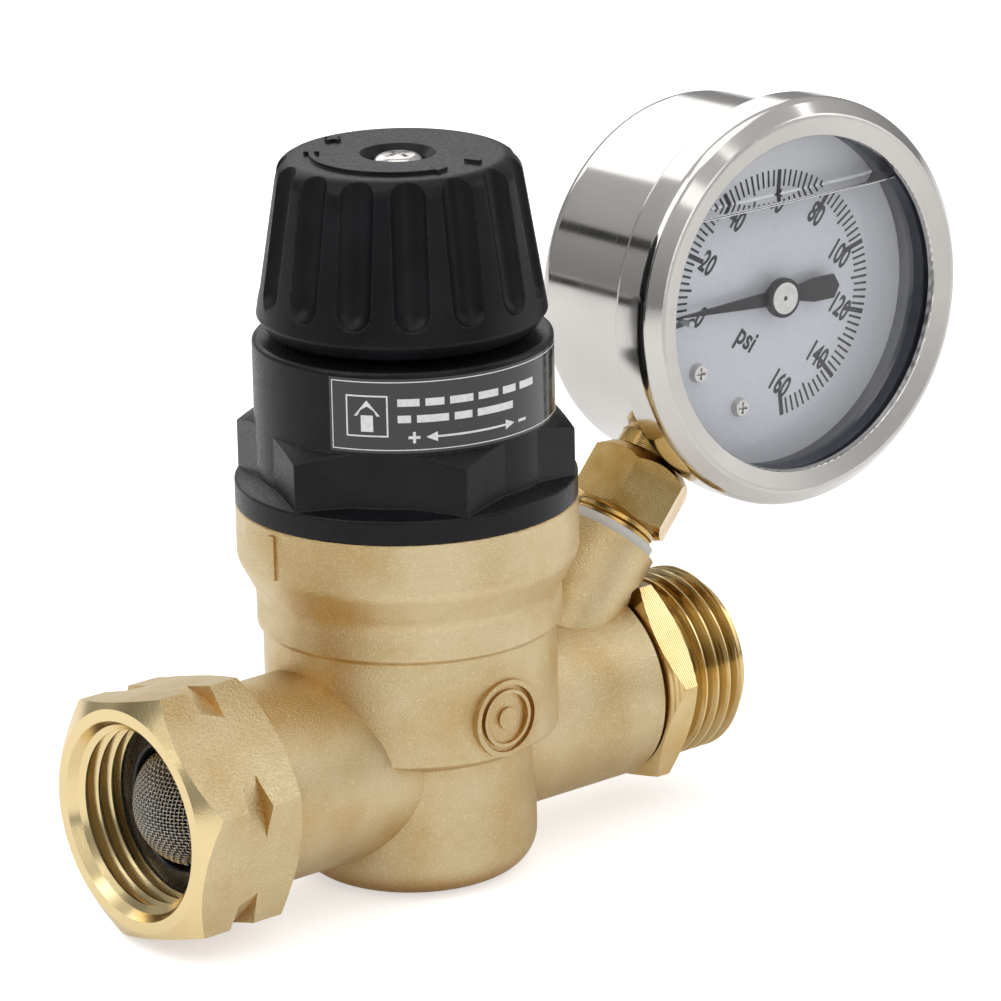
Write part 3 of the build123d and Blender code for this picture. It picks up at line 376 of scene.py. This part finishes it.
def see_through(name, tint, gloss_share):
    """Clear flat material: what is behind it, with a reflection that grows at a glancing angle."""
    p = Paint(name)
    clear = p.node("ShaderNodeBsdfTransparent", Color=(*tint, 1.0))
    gloss = p.tree.nodes.new("ShaderNodeBsdfGlossy")
    gloss.inputs["Color"].default_value = (1, 1, 1, 1)
    p.put(gloss.inputs["Roughness"], p.ramp(p.noise(60.0), 0.3, 0.7, 0.01, 0.05))
    fresnel = p.node("ShaderNodeFresnel", IOR=1.45)
    share = p.math("MULTIPLY", fresnel.outputs[0], gloss_share)
    mix = p.tree.nodes.new("ShaderNodeMixShader")
    p.put(mix.inputs[0], share)
    p.put(mix.inputs[1], clear.outputs[0])
    p.put(mix.inputs[2], gloss.outputs[0])
    p.put(p.output.inputs[0], mix.outputs[0])
    p.tree.nodes.remove(p.shader)
    return p.material


def printed(name, tone, other, rough=0.4, coat=0.0):
    """A printed or painted surface with slight unevenness."""
    p = Paint(name)
    fine = p.noise(1500.0, 2.0)
    colour = p.mix(p.ramp(fine, 0.3, 0.7), tone, other)
    roughness = p.ramp(fine, 0.3, 0.7, rough - 0.06, rough + 0.06)
    return p.finish(
        Base_Color=colour, Roughness=roughness, Normal=p.bump(fine, 0.1, FINE_DEPTH), Coat_Weight=coat
    )


def hub_finish():
    """The hub: a pale turned disc with a dark rim and a dark centre mark."""
    p = Paint("hub_metal")
    reach = p.node("ShaderNodeVectorMath", Vector=p.place)
    reach.operation = "SUBTRACT"
    reach.inputs[1].default_value = GAUGE_CENTRE
    across = p.node("ShaderNodeVectorMath", Vector=reach.outputs[0])
    across.operation = "CROSS_PRODUCT"
    across.inputs[1].default_value = GAUGE_OUT
    size = p.node("ShaderNodeVectorMath", Vector=across.outputs[0])
    size.operation = "LENGTH"
    radius = size.outputs["Value"]
    rim = p.math("GREATER_THAN", radius, HUB_DISC_R * MM)
    dot = p.math("LESS_THAN", radius, HUB_DOT_R * MM)
    dark = p.math("MAXIMUM", rim, dot)
    metal = p.mix(p.ramp(p.noise(900.0), 0.3, 0.7), HUB_PALE, HUB_DEEP)
    colour = p.mix(dark, metal, HUB_DARK)
    return p.finish(
        Base_Color=colour,
        Metallic=p.math("MULTIPLY", p.math("SUBTRACT", 1.0, dark), 0.6),
        Roughness=p.blend(dark, 0.42, 0.35),
        Normal=p.bump(p.noise(2500.0), 0.1, 0.02),
    )


FLOW_AXIS = (1.0, 0.0, 0.0)
FLOW_AT = (0.0, 0.0, FLOW_HEIGHT * MM)
RISING = (0.0, 0.0, 1.0)
ORIGIN = (0.0, 0.0, 0.0)
LEAN = tuple(GAUGE_UP)
GAUGE_AT = tuple(GAUGE_CENTRE)

cast = brass("cast_brass", PALE_BRASS, DEEP_BRASS, 0.36, 0.75, 3400.0, inlet_machining, coarse_flats)
fitting_brass = turned_metal(
    "turned_brass", (0.84, 0.65, 0.34), (0.74, 0.52, 0.21), 0.17, FLOW_AT, FLOW_AXIS
)
socket_brass = turned_metal(
    "socket_brass", (0.80, 0.58, 0.25), (0.62, 0.37, 0.10), 0.18, tuple(STEM_FOOT), LEAN, pitch=0.28
)
upright_brass = turned_metal(
    "piston_brass", (0.86, 0.66, 0.34), (0.76, 0.55, 0.24), 0.25, ORIGIN, RISING
)
plate_brass = turned_metal("movement_brass", PLATE_PALE, PLATE_DEEP, 0.28, GAUGE_AT, LEAN)
steel = polished_steel("polished_steel")
bezel_steel = polished_steel("bezel_steel", satin=0.3)
screw_steel = polished_steel("screw_steel", 0.13)
plain_steel = turned_metal("plain_steel", (0.62, 0.61, 0.60), (0.48, 0.47, 0.46), 0.3, ORIGIN, RISING)
pin_steel = turned_metal(
    "pin_steel", (0.66, 0.66, 0.66), (0.5, 0.5, 0.5), 0.3, GAUGE_AT, tuple(GAUGE_OUT), pitch=0.2
)
knob_plastic = moulded("knob_plastic", BLACK, 0.36, gloss=0.19, edge_tone=EDGE_GREY)
bonnet_plastic = moulded("bonnet_plastic", BLACK, 0.31, grain=0.2, gloss=0.22, edge_tone=EDGE_GREY)
nut_plastic = moulded("nut_plastic", (0.02, 0.02, 0.022), 0.5)
seal_rubber = moulded("seal_rubber", (0.012, 0.012, 0.012), 0.22, grain=0.1)
soft_rubber = moulded("soft_rubber", (0.02, 0.02, 0.021), 0.5)
gasket_rubber = moulded("gasket_rubber", (0.045, 0.05, 0.065), 0.35, grain=0.1)
label_film = printed("label_film", (0.012, 0.012, 0.013), (0.018, 0.018, 0.02), 0.2, coat=0.5)
label_ink = printed("label_ink", (0.82, 0.82, 0.82), (0.72, 0.72, 0.72), 0.35)
dial_white = printed("dial_white", (0.93, 0.94, 0.97), (0.90, 0.91, 0.95), 0.5)
dial_ink = printed("dial_ink", (0.012, 0.012, 0.014), (0.03, 0.03, 0.034), 0.5)
pointer_paint = printed("pointer_paint", (0.012, 0.012, 0.013), (0.02, 0.02, 0.022), 0.35)
nylon = moulded("nylon", (0.62, 0.61, 0.58), 0.35, grain=0.1)
lens = see_through("window_glass", (0.995, 0.997, 1.0), 0.1)
liquid = see_through("glycerine", (0.99, 0.993, 1.0), 0.08)
# painted shade: grey tints on thin clear strips draw the dark line at the liquid's level, with real gloss
# on top
level_shade_film = see_through("liquid_surface", (0.80, 0.81, 0.86), 1.0)
meniscus_shade_film = see_through("meniscus_shade_film", (0.55, 0.56, 0.62), 0.9)
wire = turned_metal(
    "wire_steel", (0.55, 0.53, 0.49), (0.40, 0.37, 0.32), 0.28, FLOW_AT, FLOW_AXIS, pitch=0.9
)
hub = hub_finish()

FINISHES = {
    "body": cast,
    "bonnet": bonnet_plastic,
    "bonnet_seal": soft_rubber,
    "bezel": bezel_steel,
    "bourdon_tube": plate_brass,
    "dial": dial_white,
    "dial_screws": screw_steel,
    "disc_nut": upright_brass,
    "fill_plug": soft_rubber,
    "gauge_case": steel,
    "gauge_socket": socket_brass,
    "gauge_washer": nylon,
    "knob": knob_plastic,
    "knob_screw": screw_steel,
    "label": label_film,
    "link": pin_steel,
    "movement_back_plate": plate_brass,
    "movement_front_plate": plate_brass,
    "movement_pillars": plate_brass,
    "outlet_fitting": fitting_brass,
    "outlet_seal": seal_rubber,
    "pinion": pin_steel,
    "piston": upright_brass,
    "piston_ring": soft_rubber,
    "pointer": pointer_paint,
    "pointer_hub": hub,
    "seat_ring": upright_brass,
    "sector_gear": pin_steel,
    "spindle": plain_steel,
    "spring": plain_steel,
    "spring_nut": nut_plastic,
    "stop_pin": pin_steel,
    "strainer_gasket": seal_rubber,
    "strainer_screen": wire,
    "thrust_washer": plain_steel,
    "tube_tip": plate_brass,
    "valve_disc": soft_rubber,
    "window": lens,
    "window_gasket": gasket_rubber,
}
for name, node in NODES.items():
    for material_slot in node.material_slots:
        material_slot.material = FINISHES[name]


# =============================== pieces ===============================


def piece(name, mesh, material, body="valve", smooth=False):
    """An object of a finished mesh, riding on its body."""
    mesh.materials.append(material)
    for face in mesh.polygons:
        face.use_smooth = smooth
    made = bpy.data.objects.new(name, mesh)
    bpy.context.scene.collection.objects.link(made)
    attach(made, body)
    return made


def mesh_of(name, vertices, faces):
    """A mesh whose vertices are points of the scene."""
    made = bpy.data.meshes.new(name)
    made.from_pydata([tuple(v) for v in vertices], [], faces)
    made.validate()
    return made


class Sheet:
    """Flat shapes drawn in millimetres in a plane, mapped on to a surface."""

    def __init__(self, lay):
        self.lay = lay
        self.vertices = []
        self.faces = []

    def polygon(self, corners):
        """A filled shape."""
        first = len(self.vertices)
        self.vertices += [self.lay(x, y) for x, y in corners]
        self.faces.append(tuple(range(first, first + len(corners))))

    def bar(self, x0, y0, x1, y1, width, steps=1):
        """A straight bar between two points."""
        length = sqrt((x1 - x0) ** 2 + (y1 - y0) ** 2)
        ax = -(y1 - y0) / length * width / 2
        ay = (x1 - x0) / length * width / 2
        for i in range(steps):
            s, t = i / steps, (i + 1) / steps
            a = (x0 + (x1 - x0) * s, y0 + (y1 - y0) * s)
            b = (x0 + (x1 - x0) * t, y0 + (y1 - y0) * t)
            self.polygon(
                (
                    (a[0] - ax, a[1] - ay),
                    (b[0] - ax, b[1] - ay),
                    (b[0] + ax, b[1] + ay),
                    (a[0] + ax, a[1] + ay),
                )
            )

    def frame(self, x0, y0, x1, y1, width, steps=1):
        """A rectangle's outline."""
        self.bar(x0, y0, x1, y0, width, steps)
        self.bar(x0, y1, x1, y1, width, steps)
        self.bar(x0, y0 - width / 2, x0, y1 + width / 2, width)
        self.bar(x1, y0 - width / 2, x1, y1 + width / 2, width)

    def text(self, words, x, y, height, squeeze, weight):
        """Words centred on a point, from Blender's own font."""
        curve = bpy.data.curves.new("words", "FONT")
        curve.body = words
        curve.align_x = "CENTER"
        curve.align_y = "CENTER"
        curve.size = height
        curve.offset = weight
        curve.resolution_u = 4
        holder = bpy.data.objects.new("words", curve)
        flat = bpy.data.meshes.new_from_object(holder)
        first = len(self.vertices)
        for vertex in flat.vertices:
            self.vertices.append(self.lay(x + vertex.co.x * squeeze, y + vertex.co.y))
        for face in flat.polygons:
            self.faces.append(tuple(first + i for i in face.vertices))
        bpy.data.meshes.remove(flat)
        bpy.data.objects.remove(holder)
        bpy.data.curves.remove(curve)

    def mesh(self, name):
        """The drawn shapes as one mesh."""
        return mesh_of(name, self.vertices, self.faces)


# ---- dial print ----
def on_dial(x, y):
    """A place just above the dial's face."""
    return gauge_point(x, y, DIAL_FACE + PRINT_LIFT)


def bearing(value):
    """Clockwise angle from the top of the dial for a reading."""
    return radians(-SCALE_SWEEP / 2 + SCALE_SWEEP * value / SCALE_TOP)


scale = Sheet(on_dial)
for value in range(0, SCALE_TOP + 1, TICK_EVERY):
    length, width = next((long, wide) for every, long, wide in TICK_KINDS if value % every == 0)
    turn = bearing(value)
    across, up = sin(turn), cos(turn)
    inner = TICK_OUTER - length
    scale.bar(across * inner, up * inner, across * TICK_OUTER, up * TICK_OUTER, width)
for value in range(0, SCALE_TOP + 1, NUMBER_EVERY):
    turn = bearing(value)
    across, up = sin(turn) * NUMBER_R, cos(turn) * NUMBER_R
    scale.text(str(value), across, up, NUMBER_SIZE, NUMBER_SQUEEZE, NUMBER_WEIGHT)
scale.text("psi", 0.0, -UNIT_DROP, UNIT_SIZE, UNIT_SQUEEZE, UNIT_WEIGHT)
piece("dial_scale", scale.mesh("dial_scale"), dial_ink)

# ---- label print, wrapped round the bonnet ----
label_angles = [atan2(v.co.y, v.co.x) % tau for v in NODES["label"].data.vertices]
LABEL_FROM = min(label_angles)
LABEL_TO = max(label_angles)
LABEL_R = max(sqrt(v.co.x**2 + v.co.y**2) for v in NODES["label"].data.vertices) / MM
LABEL_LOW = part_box("label")[0].z / MM
LABEL_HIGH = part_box("label")[1].z / MM
LABEL_LONG = (LABEL_TO - LABEL_FROM) * LABEL_R


def on_label(x, y):
    """x along the label from its left end, y up from its lower edge."""
    angle = LABEL_FROM + x / LABEL_R
    radius = (LABEL_R + 0.03) * MM
    return Vector((cos(angle) * radius, sin(angle) * radius, (LABEL_LOW + y) * MM))


LABEL_TALL = LABEL_HIGH - LABEL_LOW
MARGIN = 0.45
BORDER_LINE = 0.14
BOX_LINE = 0.22
WORDS_FROM = 9.6
WORD_GAP = 0.8
WORD_TALL = 1.05
WORD_ROWS = ((7.1, (3.0, 2.6, 3.4, 3.2, 2.4, 3.0)), (4.8, (1.8, 4.4, 2.6, 6.0)))
SIGN_ROW = 2.2
SIGN_LINE = 0.4
ARROW_LINE = 0.3
sticker = Sheet(on_label)
sticker.frame(MARGIN, MARGIN, LABEL_LONG - MARGIN, LABEL_TALL - MARGIN, BORDER_LINE, 40)
# the box with its upward arrow
sticker.frame(2.6, 2.4, 8.2, 8.0, BOX_LINE, 8)
sticker.polygon(((5.4, 7.4), (3.6, 5.2), (7.2, 5.2)))
sticker.bar(5.4, 3.0, 5.4, 5.3, 1.7, 2)
# plain bars in place of words
for row, words in WORD_ROWS:
    start = WORDS_FROM
    for long in words:
        sticker.bar(start, row, start + long, row, WORD_TALL, 4)
        start += long + WORD_GAP
# plus, the arrow with two heads, and minus
sticker.bar(11.0, SIGN_ROW, 12.6, SIGN_ROW, SIGN_LINE, 2)
sticker.bar(11.8, 1.4, 11.8, 3.0, SIGN_LINE)
sticker.bar(14.4, SIGN_ROW, 26.0, SIGN_ROW, ARROW_LINE, 14)
sticker.polygon(((13.4, SIGN_ROW), (15.0, 1.5), (15.0, 2.9)))
sticker.polygon(((27.0, SIGN_ROW), (25.4, 2.9), (25.4, 1.5)))
sticker.bar(27.8, SIGN_ROW, 29.4, SIGN_ROW, SIGN_LINE, 2)
piece("label_print", sticker.mesh("label_print"), label_ink)


# ---- glycerine: a disc cut off level, behind the window ----
def level_directions():
    """Upward and sideways directions across the dial, with up as near to the world's as it lets."""
    flat_up = (Vector((0, 0, 1)) - GAUGE_OUT * GAUGE_OUT.z).normalized()
    return flat_up, flat_up.cross(GAUGE_OUT)


def liquid_mesh():
    """A round cell of liquid, cut off straight at its level."""
    rise = LIQUID_LEVEL / sqrt(1 - GAUGE_OUT.z**2)
    flat_up, flat_side = level_directions()
    edge = asin(rise / LIQUID_R)
    vertices, faces = [], []
    ring = []
    for i in range(LIQUID_SIDES + 1):
        turn = edge + (-pi - 2 * edge) * i / LIQUID_SIDES
        ring.append((cos(turn) * LIQUID_R, sin(turn) * LIQUID_R))
    for depth in (LIQUID_BACK, LIQUID_FRONT):
        for across, up in ring:
            place = flat_side * across + flat_up * up + GAUGE_OUT * depth
            vertices.append(GAUGE_CENTRE + place * MM)
    n = len(ring)
    faces.append(tuple(range(n)))
    faces.append(tuple(reversed(range(n, 2 * n))))
    for i in range(n):
        j = (i + 1) % n
        faces.append((j, i, n + i, n + j))
    return mesh_of("glycerine", vertices, faces)


piece("glycerine", liquid_mesh(), liquid)


def across_level(name, low, high, thick, material):
    """A strip over the liquid's level, from one depth to another, as thick as given."""
    flat_up, flat_side = level_directions()
    reach = sqrt(LIQUID_R**2 - LIQUID_LEVEL**2) - 0.1
    steps, sides = 24, 8
    vertices, faces = [], []
    for i in range(steps + 1):
        side = -reach + 2 * reach * i / steps
        climb = LIQUID_CLIMB * (abs(side) / reach) ** 10
        middle = GAUGE_CENTRE + (flat_side * side + flat_up * (LIQUID_LEVEL + 0.05 + climb)) * MM
        first = len(vertices)
        for k in range(sides):
            around = tau * k / sides
            depth = (low + high) / 2 + (high - low) / 2 * cos(around)
            vertices.append(middle + (GAUGE_OUT * depth + flat_up * thick / 2 * sin(around)) * MM)
        if i:
            for k in range(sides):
                m = (k + 1) % sides
                faces.append((first - sides + k, first - sides + m, first + m, first + k))
    faces.append(tuple(range(sides)))
    faces.append(tuple(reversed(range(steps * sides, (steps + 1) * sides))))
    return piece(name, mesh_of(name, vertices, faces), material, smooth=True)


# painted shade along the liquid's level: the strips' grey tints darken the dial seen through them
across_level("liquid_surface", LIQUID_BACK + 0.1, LIQUID_FRONT - 0.5, 0.08, level_shade_film)
across_level("meniscus", LIQUID_FRONT - 0.45, LIQUID_FRONT - 0.02, 0.5, meniscus_shade_film)


# ---- strainer: woven wires over the dome ----
def weave_mesh():
    """Two crossing sets of wires that pass over and under each other on the screen's dome."""
    dome_r = (SCREEN_R**2 + SCREEN_RISE**2) / (2 * SCREEN_RISE)
    centre = Vector((SCREEN_RIM_X - SCREEN_RISE + dome_r, 0.0, FLOW_HEIGHT))
    middle_r = dome_r - WIRE_R * WEAVE_DEPTH
    rim = SCREEN_R - SCREEN_MARGIN
    vertices, faces = [], []
    count = int(rim / WIRE_PITCH)
    for way in (0, 1):
        for line in range(-count, count + 1):
            offset = line * WIRE_PITCH
            if abs(offset) >= rim - SHORTEST_OFFSET:
                continue
            reach = sqrt(rim * rim - offset * offset)
            steps = max(6, ceil(2 * reach / (WIRE_PITCH / 3)))
            rings = []
            for i in range(steps + 1):
                run = -reach + 2 * reach * i / steps
                a, b = (offset, run) if way == 0 else (run, offset)
                depth = sqrt(middle_r**2 - a * a - b * b)
                outward = Vector((-depth, a, b)).normalized()
                wave = cos(pi * run / WIRE_PITCH + pi * line + pi * way)
                where = centre + outward * (middle_r + wave * WIRE_R * WEAVE_WAVE)
                rings.append((where, outward))
            for i, (where, outward) in enumerate(rings):
                before = rings[max(i - 1, 0)][0]
                after = rings[min(i + 1, steps)][0]
                along = (after - before).normalized()
                side = along.cross(outward).normalized()
                lift = side.cross(along).normalized()
                first = len(vertices)
                for k in range(WIRE_SIDES):
                    turn = tau * k / WIRE_SIDES
                    vertices.append((where + (side * cos(turn) + lift * sin(turn)) * WIRE_R) * MM)
                if i:
                    for k in range(WIRE_SIDES):
                        m = (k + 1) % WIRE_SIDES
                        faces.append((first - WIRE_SIDES + k, first - WIRE_SIDES + m, first + m, first + k))
                if i in (0, steps):
                    cap = tuple(range(first, first + WIRE_SIDES))
                    faces.append(cap if i else tuple(reversed(cap)))
    return mesh_of("strainer_weave", vertices, faces)


weave = piece("strainer_weave", weave_mesh(), wire, smooth=True)
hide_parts("strainer_screen")

# =============================== camera, floor and lights ===============================
back = Vector((sin(AZIMUTH) * cos(ELEVATION), -cos(AZIMUTH) * cos(ELEVATION), sin(ELEVATION)))
level = Vector((cos(AZIMUTH), sin(AZIMUTH), 0.0))
rise = back.cross(level)
camera_right = level * cos(ROLL) + rise * sin(ROLL)
camera_up = rise * cos(ROLL) - level * sin(ROLL)
target = Vector((0, 0, FLOW_HEIGHT)) - camera_right * AIM_RIGHT - camera_up * AIM_UP
camera = bpy.data.objects.new("camera", bpy.data.cameras.new("camera"))
bpy.context.scene.collection.objects.link(camera)
camera.data.lens = LENS
camera.data.sensor_width = SENSOR
camera.data.clip_start = NEAR
camera.data.clip_end = FAR
turn = Matrix((camera_right, camera_up, back)).transposed().to_4x4()
camera.matrix_world = Matrix.Translation((target + back * DISTANCE) * MM) @ turn
bpy.context.scene.camera = camera


def plain(name, tone, glow=0.0):
    """A dull studio surface."""
    p = Paint(name)
    shade = p.mix(p.ramp(p.noise(3.0), 0.3, 0.7), tone, tuple(value * 0.985 for value in tone))
    p.finish(Base_Color=shade, Roughness=0.9, Specular_IOR_Level=0.1)
    p.put(p.shader.inputs["Emission Color"], (1, 1, 1, 1))
    p.put(p.shader.inputs["Emission Strength"], glow)
    return p.material


def card(name, size, material, seen):
    """A flat square of studio furniture."""
    half_w, half_h = size[0] / 2, size[1] / 2
    corners = ((-half_w, -half_h, 0), (half_w, -half_h, 0), (half_w, half_h, 0), (-half_w, half_h, 0))
    mesh = mesh_of(name, corners, [(0, 1, 2, 3)])
    mesh.materials.append(material)
    made = bpy.data.objects.new(name, mesh)
    bpy.context.scene.collection.objects.link(made)
    made.visible_camera = seen
    return made


FLOOR_DROP = 0.05
FLOOR_SIZE = 8.0
FLOOR_GLOW = 0.10
FLOOR_GLOW_SEEN = 0.55
floor_white = plain("floor_white", (0.90, 0.90, 0.90))
glow = floor_white.node_tree
seen_by = glow.nodes.new("ShaderNodeLightPath").outputs["Is Camera Ray"]
strength = glow.nodes.new("ShaderNodeMapRange")
strength.inputs[3].default_value = FLOOR_GLOW
strength.inputs[4].default_value = FLOOR_GLOW_SEEN
glow.links.new(seen_by, strength.inputs[0])
glow.links.new(strength.outputs[0], glow.nodes["Principled BSDF"].inputs["Emission Strength"])
floor = card("floor", (FLOOR_SIZE, FLOOR_SIZE), floor_white, True)
floor.location.z = -FLOOR_DROP * MM

STAND = Vector((0.012, 0.0, 0.055))


def toward(azimuth, elevation, distance):
    """A place round the object: azimuth 0 is in front, at -Y."""
    a, e = radians(azimuth), radians(elevation)
    return STAND + Vector((sin(a) * cos(e), -cos(a) * cos(e), sin(e))) * distance


def aim(made, place):
    """Puts an object at a place and turns it toward the object on the stand."""
    made.location = place
    made.rotation_mode = "QUATERNION"
    made.rotation_quaternion = (STAND - place).to_track_quat("-Z", "Y")


def lamp(name, azimuth, elevation, distance, width, height, power):
    """A rectangular lamp aimed at the object; sizes in metres, power in watts."""
    light = bpy.data.lights.new(name, "AREA")
    light.shape = "RECTANGLE"
    light.size = width
    light.size_y = height
    light.energy = power
    made = bpy.data.objects.new(name, light)
    bpy.context.scene.collection.objects.link(made)
    aim(made, toward(azimuth, elevation, distance))
    return made


lamp("key", -100, 42, 0.9, 0.55, 0.8, 2.2)
lamp("front", -15, 30, 1.1, 0.6, 0.9, 1.6)
lamp("side", 60, 25, 1.0, 0.4, 0.9, 1.6)
lamp("top", -40, 88, 0.9, 0.7, 0.7, 1.6)
lamp("back", 160, 35, 1.0, 0.9, 0.6, 2.0)

black_card = plain("card_black", (0.02, 0.02, 0.02))
for azimuth, elevation, distance, width, height in (
    (-68, 12, 0.7, 0.10, 0.6),
    (20, 8, 0.8, 0.12, 0.5),
    (-112, 24, 0.8, 1.2, 0.07),
    (-118, -2, 0.8, 1.2, 0.05),
):
    dark = card(f"dark_card_{azimuth + 90}", (width, height), black_card, False)
    dark.visible_shadow = False
    aim(dark, toward(azimuth, elevation, distance))

SKY_HEIGHTS = (-0.1, 0.9)
SKY_GLOW = (0.26, 0.62)
world = bpy.data.worlds.new("studio")
bpy.context.scene.world = world
world.use_nodes = True
sky = world.node_tree
surface = sky.nodes["Background"]
direction = sky.nodes.new("ShaderNodeTexCoord")
split = sky.nodes.new("ShaderNodeSeparateXYZ")
sky.links.new(direction.outputs["Generated"], split.inputs[0])
shade = sky.nodes.new("ShaderNodeMapRange")
shade.interpolation_type = "SMOOTHSTEP"
for index, value in enumerate((*SKY_HEIGHTS, *SKY_GLOW), start=1):
    shade.inputs[index].default_value = value
sky.links.new(split.outputs[2], shade.inputs[0])
seen = sky.nodes.new("ShaderNodeLightPath")
either = sky.nodes.new("ShaderNodeMix")
sky.links.new(seen.outputs["Is Camera Ray"], either.inputs[0])
sky.links.new(shade.outputs[0], either.inputs[2])
either.inputs[3].default_value = 1.0
sky.links.new(either.outputs[0], surface.inputs["Strength"])
surface.inputs["Color"].default_value = (1, 1, 1, 1)

bpy.context.scene.view_settings.view_transform = "Standard"
